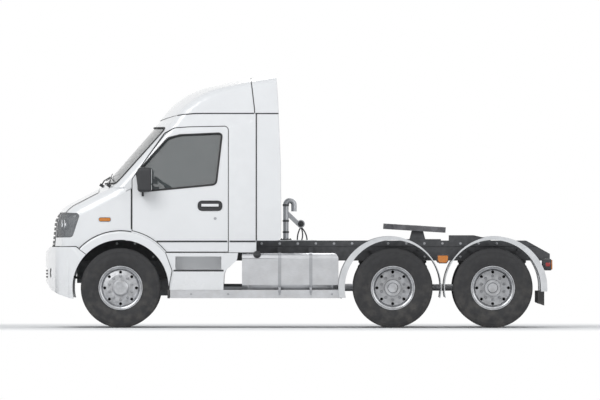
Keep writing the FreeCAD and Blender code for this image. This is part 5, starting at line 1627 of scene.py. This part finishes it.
@dataclass
class ChassisDress(Assembly):
    """Bolts, spring leaves, bellows, straps, caps, steps and tail fittings."""

    nodes: dict[str, Piece]
    rail_web: float = 0.43
    # height and width of each row of bolts on a rail
    bolt_rows: Profile = ((0.955, 0.43), (1.135, 0.438))
    bolt_start: float = -2.95
    bolt_pitch: float = 0.245
    bolt_count: int = 25
    leaf_half: float = 0.775
    leaf_sides: Flat = (0.385, 0.475)
    # half-length of each leaf, and its height above the lowest
    leaves: Profile = ((0.775, 0.048), (0.69, 0.0335), (0.52, 0.019), (0.35, 0.0045))
    # width and height of a spring's clamp
    clamp: Profile = ((0.377, 0.505), (0.377, 0.64), (0.384, 0.65), (0.476, 0.65), (0.483, 0.64), (0.483, 0.505))
    clamp_place: float = 0.085
    bellows_low: float = 0.476
    bellows_high: float = 0.904
    bellows_reach: float = 0.365
    folds: tuple[float, ...] = (0.17, 0.255, 0.34)
    fold: Profile = ((-0.032, 0.084), (-0.018, 0.099), (0.0, 0.1045), (0.018, 0.099), (0.032, 0.084))
    tank_front: float = -0.763
    tank_rear: float = 0.539
    tank_outer: float = 1.19
    tank_inner: float = 0.56
    tank_low: float = 0.512
    tank_high: float = 1.006
    tank_corner: float = 0.075
    strap_places: Flat = (-0.255, 0.166)
    seam_inset: float = 0.085
    cap_place: Point = (-0.56, -1.165, 0.982)
    cap: Profile = (
        (-0.004, 0.0), (-0.004, 0.052), (0.01, 0.052), (0.012, 0.046), (0.034, 0.045), (0.04, 0.04),
        (0.042, 0.03), (0.04, 0.0),
    )
    tread: Slab = Slab((-1.655, -1.188, 0.772), (-1.05, -0.983, 0.779), 0.002, 1)
    rib_count: int = 7
    rib_pitch: float = 0.028
    nosing: Slab = Slab((-1.69, -1.1985, 0.76), (-1.01, -1.186, 0.784), 0.004)
    guard_caps: tuple[Slab, Slab] = (
        Slab((-1.77, -1.1935, 0.397), (-1.735, -1.1465, 0.5115), 0.008),
        Slab((0.56, -1.1935, 0.397), (0.588, -1.1465, 0.5115), 0.008),
    )
    guard_bolts: tuple[float, ...] = (-1.45, -0.95, -0.255, 0.166, 0.45)
    tail_housing: Slab = Slab((3.32, -1.2, 0.774), (3.412, -0.8, 0.929), 0.008)
    tail_lenses: tuple[tuple[str, str, Slab], ...] = (
        ("tail_turn", "lamp_amber", Slab((3.404, -1.19, 0.786), (3.427, -1.078, 0.917), 0.007, 3)),
        ("tail_stop", "lamp_red", Slab((3.404, -1.07, 0.786), (3.427, -0.918, 0.917), 0.007, 3)),
        ("tail_reverse", "lamp_clear", Slab((3.404, -0.91, 0.786), (3.427, -0.812, 0.917), 0.007, 3)),
        ("tail_reflector", "lamp_red", Slab((3.335, -1.2035, 0.83), (3.395, -1.195, 0.88), 0.003)),
    )
    rear_plate: Slab = Slab((3.391, -0.26, 0.826), (3.396, 0.26, 0.902), 0.002)
    # distance from the lamp's middle, and height
    marker: Profile = (
        (-0.074, 0.98), (-0.074, 0.915), (-0.048, 0.875), (0.048, 0.875), (0.074, 0.915), (0.074, 0.98),
    )
    guard_radius: float = 0.6585
    stay_widths: tuple[float, ...] = (-1.13, -0.95, -0.7)
    cover_reach: float = 0.185
    cover: Profile = (
        (0.0, 0.0), (0.0, 0.15), (0.016, 0.15), (0.022, 0.142), (0.04, 0.12), (0.052, 0.08), (0.056, 0.0),
    )
    post_x: float = -0.172
    band_heights: tuple[float, ...] = (1.442, 1.29, 1.655)
    band_profile: Profile = (
        (-0.014, 0.036), (-0.014, 0.041), (-0.01, 0.0435), (0.01, 0.0435), (0.014, 0.041), (0.014, 0.036),
    )
    foot_height: float = 1.182
    foot_profile: Profile = ((0.0, 0.037), (0.0, 0.078), (0.01, 0.078), (0.012, 0.074), (0.012, 0.037))
    palm_place: Flat = (0.032, 1.401)
    head: Profile = (
        (0.0, 0.0), (0.0, 0.04), (0.008, 0.04), (0.012, 0.034), (0.02, 0.033), (0.024, 0.02), (0.022, 0.0),
    )

    def bolt(self, name: str, place: Point, outwards: Point, radius: float = 0.01) -> Piece:
        """A hexagonal bolt head on a washer.

        Args:
            name: Its name.
            place: The point of the surface that it sits on.
            outwards: The direction that it faces.
            radius: The head's radius.

        Returns:
            The piece.
        """
        start, way = Vector(place), Vector(outwards).normalized()
        washer = self.drum(name, start - way * 0.002, start + way * 0.003, radius * 1.45, 12)
        head = self.drum(name, start + way * 0.003, start + way * 0.012, radius, 6)
        return self.joined(name, [washer, head])

    def rail_bolts(self) -> None:
        """Rows of bolts along both frame rails, outside and inside of the wheels."""
        moves = [(self.bolt_pitch * index, 0.0, 0.0) for index in range(1, self.bolt_count)]
        rows = [self.row(self.bolt("rail_bolts", (self.bolt_start, -width, height), OUTWARDS, 0.012), moves)
                for height, width in self.bolt_rows]
        self.fit_both(self.joined("rail_bolts", rows), "shaft_steel")

    def springs(self) -> None:
        """The steered axle's leaf packs, with their clamps."""
        inner, outer = self.leaf_sides
        for name, side in SIDES:
            leaves = []
            for reach, lift in self.leaves:
                def leaf(share: float, width: float) -> Point:
                    """A point of a bowed leaf."""
                    rise = 0.1 * (abs(reach * share) / self.leaf_half) ** 1.8
                    return FRONT_AXLE + reach * share, width, 0.567 + lift + rise
                leaves.append(self.sheet("spring_leaf", (-1.0, 1.0), (side * inner, side * outer), (20, 1), leaf,
                                         0.0125))
            self.fit_joined("spring_leaves_" + name, leaves, "chassis_steel", "chassis",
                            *(("leaf_springs",) if side == LEFT else ()))
            clamps = [self.strip("spring_clamp", [(FRONT_AXLE + place, side * y, z) for y, z in self.clamp], 0.009,
                                 sides=3) for place in (-self.clamp_place, self.clamp_place)]
            low, high = sorted((side * inner, side * outer))
            clamps.append(self.block("spring_clamp", (FRONT_AXLE - 0.105, low - 0.012, 0.626),
                                     (FRONT_AXLE + 0.105, high + 0.012, 0.64), 0.003))
            self.fit_joined("spring_clamps_" + name, clamps, "shaft_steel")

    def bellows(self) -> None:
        """The eight air springs with their folds and end plates."""
        span = self.bellows_high - self.bellows_low
        profile = [(0.0, 0.0), (0.0, 0.075), (0.085, 0.082), (0.11, 0.07)]
        profile += [(centre + offset, radius) for centre in self.folds for offset, radius in self.fold]
        profile += [(0.392, 0.08), (0.4, 0.094), (span - 0.004, 0.094), (span, 0.09), (span, 0.0)]
        first = self.turned("air_bellows", profile, (0.0, 0.0, 0.0), 40, UP)
        places = [(axle_x + along, side * self.rail_web, self.bellows_low) for _, axle_x in DRIVE_AXLES
                  for along in (-self.bellows_reach, self.bellows_reach) for side in (LEFT, RIGHT)]
        bellows = [self.copied(first, Matrix.Translation(place)) for place in places]
        bpy.data.objects.remove(first)
        self.fit_joined("air_bellows", bellows, "rubber", "chassis", "air_springs")

    def tank_section(self, proud: float) -> list[Flat]:
        """Section of a tank from its inner top edge over the outer side and under it, as widths and heights.

        Args:
            proud: How far they lie outside the tank.

        Returns:
            The points in order.
        """
        low, high, radius = self.tank_low - proud, self.tank_high + proud, self.tank_corner
        side = self.tank_outer + proud - radius
        return ([(self.tank_inner, high)] + arc((side, high - radius), radius, 90.0, 0.0, 7)
                + arc((side, low + radius), radius, 0.0, -90.0, 7) + [(self.tank_inner + 0.02, low)])

    def band(self, name: str, place: float, width: float, proud: float, thickness: float) -> Piece:
        """A flat band round a tank's section.

        Args:
            name: Its name.
            place: Its middle along the vehicle.
            width: Its width.
            proud: How far it lies outside the tank.
            thickness: Its thickness.

        Returns:
            The piece.
        """
        section = self.tank_section(proud)
        last = len(section) - 1

        def lift(along: float, share: float) -> Point:
            """A point of the band."""
            across, up = section[round(share * last)]
            return along, -across, up

        return self.sheet(name, (place - width / 2.0, place + width / 2.0), (0.0, 1.0), (2, last), lift, thickness)

    def tanks(self) -> None:
        """Straps, end seams and filler cap of each tank."""
        straps = [self.band("tank_straps", place, 0.042, 0.0025, 0.004) for place in self.strap_places]
        for place in self.strap_places:
            straps += [self.block("strap_clamp", (place - 0.016, -1.205, 0.475),
                                  (place + 0.016, -1.172, 0.545), 0.004),
                       self.drum("strap_bolt", (place, -1.188, 0.452), (place, -1.188, 0.5), 0.007, 10)]
        self.fit_both(self.joined("tank_straps", straps), "shaft_steel")
        seams = [self.band("tank_seams", place, 0.012, 0.0015, 0.003)
                 for place in (self.tank_front + self.seam_inset, self.tank_rear - self.seam_inset)]
        self.fit_both(self.joined("tank_seams", seams), "aluminium")
        self.tank_shells()
        cap = self.turned("tank_cap", self.cap, self.cap_place, 28, (0.0, -0.7, 0.7))
        self.fit_both(cap, "black_plastic")

    def tank_shells(self) -> None:
        """The tanks, their top rounded off towards the rear."""
        shell = self.own_copy(self.nodes["fuel_tanks"], "tank_shells")
        radius, rear, high = self.tank_corner, self.tank_rear, self.tank_high
        corner = [(rear + 0.01, high - radius), (rear + 0.01, high + 0.01), (rear - radius, high + 0.01)]
        corner += arc((rear - radius, high - radius), radius, 90.0, 0.0, 9)
        self.cut(shell, [self.plate("corner", corner, lambda x, z: (x, 0.0, z), 3.0)])
        self.fit(shell, "aluminium", "chassis", "fuel_tanks")

    def steps(self) -> None:
        """The ribbed tread in each step's well, and its nosing."""
        (front, outer, _), (rear, _, top) = self.tread.low, self.tread.high
        treads = [self.slab("step_treads", self.tread)]
        for index in range(self.rib_count):
            y = outer + 0.01 + index * self.rib_pitch
            treads.append(self.block("step_rib", (front + 0.02, y, top - 0.001),
                                     (rear - 0.02, y + 0.011, top + 0.0065), 0.003, 1))
        self.fit_both(self.joined("step_treads", treads), "guard_silver")
        self.fit_both(self.slab("step_nosing", self.nosing), "black_plastic")

    def guards(self) -> None:
        """End caps and bolts of the side guards."""
        caps = [self.slab("guard_caps", cap) for cap in self.guard_caps]
        bolts = [self.bolt("guard_bolts", (place, -1.19, 0.456), OUTWARDS) for place in self.guard_bolts]
        self.fit_both(self.joined("guard_caps", caps), "black_plastic")
        self.fit_both(self.joined("guard_bolts", bolts), "shaft_steel")

    def tail(self) -> None:
        """Housings, lenses, reflectors and the blank plate at the tail."""
        self.fit_both(self.slab("tail_housing", self.tail_housing), "black_plastic", CHASSIS,
                      ("tail_lamps", "tail_lamps"))
        for name, slot, lens in self.tail_lenses:
            self.fit_both(self.slab(name, lens), slot)
        self.fit(self.slab("rear_plate", self.rear_plate), "paint")

    def markers(self) -> None:
        """The frame round each marker lamp between the drive wheels."""
        middle = (DRIVE_AXLES[0][1] + DRIVE_AXLES[1][1]) / 2.0
        frame = self.strip("marker_frame", [(middle + x, -1.238, z) for x, z in self.marker], 0.007, closed=True)
        self.fit_both(frame, "black_plastic")

    def mudguards(self) -> None:
        """The bolts on top of the rear mudguards, over their stays."""
        bolts = []
        for _, axle_x in DRIVE_AXLES:
            for turn in (math.radians(-34.0), math.radians(34.0)):
                way = Vector((math.sin(turn), 0.0, math.cos(turn)))
                bolts += [self.bolt("mudguard_bolts", Vector((axle_x, width, AXLE_Z)) + way * self.guard_radius, way)
                          for width in self.stay_widths]
        self.fit_both(self.joined("mudguard_bolts", bolts), "shaft_steel")

    def axle_covers(self) -> None:
        """The differentials' rear covers with their bolts."""
        pieces = []
        for _, axle_x in DRIVE_AXLES:
            face = axle_x + self.cover_reach
            cover = self.turned("axle_covers", self.cover, (face, 0.0, AXLE_Z), 40, BACKWARDS)
            first = self.bolt("axle_covers", (face + 0.015, 0.0, AXLE_Z + 0.136), BACKWARDS)
            pieces += [cover, self.ring(first, 12, (0.0, 0.0, AXLE_Z), "X")]
        self.fit_joined("axle_covers", pieces, "chassis_steel")

    def hoses(self) -> None:
        """Bands and foot of the hose stand's post, and the couplings parked on its palm."""
        bands = [self.turned("stand_bands", self.band_profile, (self.post_x, 0.0, height), 36, UP)
                 for height in self.band_heights]
        foot = self.turned("stand_foot", self.foot_profile, (self.post_x, 0.0, self.foot_height), 36, UP)
        first = self.bolt("stand_foot", (self.post_x + 0.06, 0.0, self.foot_height + 0.012), UP, 0.009)
        bolts = self.ring(first, 6, (self.post_x, 0.0, 0.0), "Z")
        self.fit_joined("stand_bands", bands + [foot, bolts], "chassis_steel")
        x, z = self.palm_place
        heads = [self.turned("coupling_heads", self.head, (x, side * 0.029, z), 32, (0.0, side, 0.0))
                 for side in (LEFT, RIGHT)]
        self.fit_joined("coupling_heads", heads, "black_plastic")

    def build(self) -> None:
        """Build and fit all the chassis pieces."""
        for make in (self.rail_bolts, self.springs, self.bellows, self.tanks, self.steps, self.guards, self.tail,
                     self.markers, self.mudguards, self.axle_covers, self.hoses):
            make()


@dataclass
class CouplingDress(Assembly):
    """Wear parts of the coupling plate."""

    pivot: Point = (1.613, 0.0, 1.29)
    tilt: float = 3.5
    top: float = 0.088
    # height, and radius
    jaw: Profile = ((0.0, 0.0265), (0.0, 0.046), (0.0015, 0.047), (0.003, 0.046), (0.003, 0.0265))
    plug: Profile = ((0.0, 0.0), (0.0, 0.017), (0.0015, 0.017), (0.002, 0.015), (0.0015, 0.0))
    # distance behind the pivot, and width
    plugs: Profile = ((-0.3, 0.3), (-0.05, 0.38), (0.2, 0.31), (-0.13, 0.09))
    handle: Profile = (
        (-0.2, 0.3), (-0.2, 0.452), (-0.215, 0.5), (-0.245, 0.52), (-0.28, 0.505), (-0.285, 0.47),
    )

    def placed(self, piece: Piece) -> Piece:
        """Move a piece made in the plate's own place to where the plate lies."""
        piece.data.transform(tilted(self.pivot, self.tilt))
        return piece

    def build(self) -> None:
        """Build and fit the coupling's pieces."""
        trim = [self.turned("plate_jaw", self.jaw, (0.0, 0.0, self.top - 0.001), 48, UP)]
        trim += [self.turned("plate_plugs", self.plug, (x, side * y, self.top - 0.0005), 20, UP)
                 for x, y in self.plugs for side in (RIGHT, LEFT)]
        self.fit(self.placed(self.joined("plate_jaw", trim)), "shaft_steel", "coupling_plate")
        grip = self.strip("plate_handle", [(x, y, 0.045) for x, y in self.handle], 0.008, sides=3)
        self.fit(self.placed(grip), "shaft_steel", "coupling_plate")


# ---- inside the cab


@dataclass
class Inside(Assembly):
    """Seats, fascia details and the steering wheel's trim."""

    seat_low: float = 0.28
    seat_high: float = 0.78
    lean: float = 8.0
    lean_pivot: Point = (FRONT_AXLE + 1.34, 0.0, 1.52)
    floor: float = 1.2443
    # places of the sewn channels across a cushion, as a share of its half-width
    channels: Flat = (-0.52, 0.52)
    channel_depth: float = 0.011
    channel_width: float = 0.055
    vents: tuple[float, ...] = (-0.92, -0.16, 0.0, 0.16, 0.72, 0.9)
    wheel_middle: Point = (FRONT_AXLE + 0.64, -0.53, 1.9)
    wheel_slant: float = 36.0
    # distance along the column, and radius
    pad: Profile = ((0.0, 0.0), (0.0, 0.078), (0.012, 0.082), (0.022, 0.07), (0.03, 0.04), (0.032, 0.0))

    def cushion(self, name: str, low: Point, high: Point, crown: float) -> Piece:
        """A crowned cushion with two sewn channels.

        Args:
            name: Its name.
            low: Its lowest corner.
            high: Its highest corner.
            crown: How far its faces swell.

        Returns:
            The piece.
        """
        piece = self.block(name, low, high)
        self.enter()
        bpy.ops.mesh.subdivide(number_cuts=9)
        self.leave()
        centre = (Vector(low) + Vector(high)) / 2.0
        half = (Vector(high) - Vector(low)) / 2.0
        thin = min(range(3), key=lambda k: half[k])
        for vertex in piece.data.vertices:
            share = Vector([(vertex.co[k] - centre[k]) / half[k] for k in range(3)])
            swell = [1.0 - min(1.0, abs(value)) ** 3 for value in share]
            for k in range(3):
                pull = crown * (swell[k - 1] * swell[k - 2] - 0.55)
                vertex.co[k] += math.copysign(1.0, share[k]) * abs(share[k]) ** 4 * pull
            groove = sum(math.exp(-((share.y - line) / self.channel_width) ** 2) for line in self.channels)
            drop = abs(share[thin]) ** 4 * self.channel_depth * groove
            vertex.co[thin] -= math.copysign(1.0, share[thin]) * drop
        self.modified(piece, "SUBSURF", levels=2, render_levels=2)
        bpy.ops.object.shade_smooth()
        return piece

    def leant(self, piece: Piece) -> Piece:
        """Lean a cushion back about the foot of the seat's back."""
        back = Matrix.Translation(-Vector(self.lean_pivot))
        piece.data.transform(tilted(self.lean_pivot, self.lean) @ back)
        return piece

    def seats(self) -> None:
        """Both seats: cushion, back, head rest and pedestal."""
        for name, side in SIDES:
            low, high = sorted((side * self.seat_low, side * self.seat_high))
            base = self.cushion("seat_cushion_" + name, (FRONT_AXLE + 0.87, low, 1.415),
                                (FRONT_AXLE + 1.36, high, 1.555), 0.016)
            back = self.leant(self.cushion("seat_back_" + name, (FRONT_AXLE + 1.315, low + 0.01, 1.535),
                                           (FRONT_AXLE + 1.435, high - 0.01, 2.13), 0.016))
            rest = self.leant(self.cushion("head_rest_" + name, (FRONT_AXLE + 1.325, low + 0.12, 2.14),
                                           (FRONT_AXLE + 1.415, high - 0.12, 2.3), 0.012))
            for piece, fill in ((base, 0.85), (back, 0.85), (rest, 0.9)):
                self.fit(piece, "seat_fabric", "chassis", *(("seats",) if piece.name == "seat_cushion_left" else ()))
            foot = self.block("seat_foot_" + name, (FRONT_AXLE + 0.965, low + 0.03, self.floor + 0.001),
                              (FRONT_AXLE + 1.355, high - 0.03, 1.415), 0.02, 3)
            self.sunk(foot, lambda face: abs(face.normal.y) > 0.9, 0.02, -0.008)
            self.fit(foot, "fascia_plastic")

    def fascia(self) -> None:
        """The instrument hood and the vents."""
        front = FRONT_AXLE + 0.292

        def hood(y: float, share: float) -> Point:
            """A point of the hood, arched over the dials and falling to the rear."""
            rise = 0.06 * math.cos((y + 0.53) / 0.23 * math.pi / 2.0)
            return front + 0.2 * share, y, 1.985 + rise - 0.045 * share

        trim = [self.sheet("fascia_hood", (-0.76, -0.3), (0.0, 1.0), (16, 6), hood, 0.01)]
        trim += [self.block("vent", (FRONT_AXLE + 0.44, y - 0.055, 1.845), (FRONT_AXLE + 0.505, y + 0.055, 1.905),
                            0.008) for y in self.vents]
        self.fit_joined("fascia_trim", trim, "fascia_plastic")

    def wheel_trim(self) -> None:
        """The pad in the middle of the steering wheel."""
        pad = self.turned("wheel_pad", self.pad, (0.0, 0.0, -0.004), 40, UP)
        pad.data.transform(tilted(self.wheel_middle, self.wheel_slant))
        self.fit(pad, "fascia_plastic")

    def build(self) -> None:
        """Build and fit all that is seen through the glass."""
        self.seats()
        self.fascia()
        self.wheel_trim()


# ---- cab lining


@dataclass
class Lining:
    """Paint outside and a dark trim inside, on the one pressing of the cab's shell."""

    side: CabSide
    front: Front
    trim: Point = (0.2, 0.205, 0.215)
    # thickness of the side walls, and of the windscreen's slanted wall along the vehicle
    depth: float = 0.058
    front_depth: float = 0.075
    # heights and places, just inside the walls, where the paint gives way to the lining
    roof: Flat = (2.85, 2.846)
    rear: Flat = (-0.612, -0.616)
    floor: Flat = (1.205, 1.209)
    side_edge: Flat = (0.0, 0.004)

    def build(self, node: Piece) -> None:
        """Make the material and put it on the shell.

        Args:
            node: The cab's shell.
        """
        board = Board("cab_paint_and_lining")
        across, up, radius = self.side.circle()
        along, wide, height = board.split()
        rise = height - up
        reach = ((rise * rise) * -1.0 + (radius - self.depth) ** 2).math("SQRT")
        inside_sides = (reach + across - abs(wide)).step_up(*self.side_edge)
        run = along * -1.0 + PLAN_AXIS
        ring = (run * run + wide * wide).math("SQRT")
        screen = ((height - self.front.screen_foot) * -self.front.screen_slope
                  + (PLAN_AXIS - FRONT_AXLE - self.front.screen_reach - self.front_depth))
        inside_front = (screen - ring).step_up(*self.side_edge)
        mask = (inside_sides * height.step_up(*self.roof) * along.step_up(*self.rear)
                * height.step_up(*self.floor) * inside_front)
        cloud = board.noise(6.0, 4.0)
        tone = board.blend(cloud.step_up(*CLOUD), tuple(channel * 0.97 for channel in WHITE), WHITE)
        board.set("Base Color", board.blend(mask, tone, self.trim))
        board.set("Roughness", mask * 0.55 + (cloud * 0.08 + 0.22))
        board.set("Coat Weight", mask * -0.7 + 0.7)
        board.set("Coat Roughness", COAT_ROUGHNESS)
        board.bump(board.noise(620.0, 2.0), 0.06, 0.0006, 0.004)
        for place in node.material_slots:
            place.material = board.material


# ---- stage


@dataclass
class Stage:
    """Floor, lights and camera."""

    distance: float = 200.0
    near_side: float = -1.13
    metres_per_picture: float = 8.1
    middle: Flat = (0.02, 1.725)
    floor_size: float = 140.0
    # distances from the middle where the floor starts to fade, and is white
    fade: Flat = (3.2, 7.5)
    shown_to: tuple[str, ...] = ("Is Camera Ray", "Is Glossy Ray", "Is Transmission Ray")
    sky: Point = (0.93, 0.96, 1.0)
    sky_strength: float = 0.52
    sensor: float = 36.0
    # name, place, the spot it points at, power in watts
    lamps: tuple[tuple[str, Point, Point, float], ...] = (
        ("key_lamp", (-7.0, -10.0, 9.0), (0.0, 0.0, 1.2), 760.0),
        ("fill_lamp", (9.0, -8.0, 5.0), (0.5, 0.0, 1.2), 260.0),
        ("back_lamp", (2.0, 10.0, 8.0), (0.0, 0.0, 1.5), 420.0),
    )
    lamp_size: float = 7.0

    def floor(self) -> None:
        """A plain pale floor that fades to the background's white."""
        bpy.ops.object.select_all(action="DESELECT")
        bpy.ops.mesh.primitive_plane_add(size=self.floor_size, location=(0.0, 0.0, -0.0005))
        plane = bpy.context.object
        plane.name = "floor"
        board = Board("floor_pale")
        board.set("Base Color", (0.86, 0.86, 0.86))
        board.set("Roughness", 0.9)
        board.set("Specular IOR Level", 0.1)
        across, along, _ = board.split()
        edge = (across * across * 0.45 + along * along).math("SQRT").step_up(*self.fade)
        path = board.add("ShaderNodeLightPath")
        camera, gloss, glass = (Signal(board, path.outputs[ray]) for ray in self.shown_to)
        eye = (camera + gloss + glass).clamped()
        white = board.add("ShaderNodeEmission", None, {"Color": (1.0, 1.0, 1.0), "Strength": 1.0})
        mix = board.add("ShaderNodeMixShader", None, {0: edge * eye, 1: board.shader.outputs[0], 2: white.outputs[0]})
        output = board.tree.nodes["Material Output"]
        board.join(output.inputs["Surface"], mix.outputs[0])
        plane.data.materials.append(board.material)

    def world(self) -> None:
        """White to the camera, to gloss and to glass, and a softer grey to everything that it lights."""
        world = bpy.data.worlds.new("studio")
        bpy.context.scene.world = world
        world.use_nodes = True
        tree = world.node_tree
        tree.nodes.clear()
        path, mix, output = (tree.nodes.new("ShaderNode" + kind)
                             for kind in ("LightPath", "MixShader", "OutputWorld"))
        shown = None
        for ray in self.shown_to:
            socket = path.outputs[ray]
            if shown:
                either = tree.nodes.new("ShaderNodeMath")
                either.operation = "MAXIMUM"
                tree.links.new(shown, either.inputs[0])
                tree.links.new(socket, either.inputs[1])
                socket = either.outputs[0]
            shown = socket
        tree.links.new(shown, mix.inputs[0])
        for index, (colour, strength) in enumerate(((self.sky, self.sky_strength), ((1.0, 1.0, 1.0), 1.0)), 1):
            light = tree.nodes.new("ShaderNodeBackground")
            light.inputs[0].default_value = (*colour, 1.0)
            light.inputs[1].default_value = strength
            tree.links.new(light.outputs[0], mix.inputs[index])
        tree.links.new(mix.outputs[0], output.inputs[0])

    def lamp(self, name: str, place: Point, aim: Point, power: float) -> None:
        """A square area lamp that points at a spot.

        Args:
            name: The lamp's name.
            place: Where it hangs.
            aim: The spot that it points at.
            power: Its power in watts.
        """
        bpy.ops.object.select_all(action="DESELECT")
        bpy.ops.object.light_add(type="AREA", location=place)
        lamp = bpy.context.object
        lamp.name = name
        lamp.data.size = self.lamp_size
        lamp.data.energy = power
        lamp.rotation_euler = (Vector(aim) - Vector(place)).to_track_quat("-Z", "Y").to_euler()

    def camera(self) -> None:
        """A level camera far off the driver's side, with a long lens."""
        eye = bpy.data.objects.new("camera", bpy.data.cameras.new("camera"))
        bpy.context.scene.collection.objects.link(eye)
        eye.location = (self.middle[0], self.near_side - self.distance, self.middle[1])
        eye.rotation_euler = (math.radians(90.0), 0.0, 0.0)
        eye.data.sensor_width = self.sensor
        eye.data.lens = self.sensor * self.distance / self.metres_per_picture
        eye.data.clip_start = 1.0
        eye.data.clip_end = 1000.0
        bpy.context.scene.camera = eye

    def build(self) -> None:
        """Set the stage."""
        self.floor()
        self.world()
        for name, place, aim, power in self.lamps:
            self.lamp(name, place, aim, power)
        self.camera()
        bpy.context.scene.view_settings.view_transform = "Standard"


# ---- build


def main() -> None:
    """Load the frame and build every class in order."""
    logging.basicConfig(level=logging.INFO, format="%(name)s %(message)s")
    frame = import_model()
    finishes = Finishes()
    finishes.carry_over(frame)
    side, front, nodes = CabSide(), Front(), frame["nodes"]
    Lining(side, front).build(nodes["cab_shell"])
    for part in (Wheels(finishes), DoorDress(finishes, side), MirrorDress(finishes),
                 BodyDress(finishes, side, front, nodes), ChassisDress(finishes, nodes), CouplingDress(finishes),
                 Inside(finishes), Stage()):
        LOG.info("building %s", type(part).__name__)
        part.build()


if __name__ == "__main__":
    main()
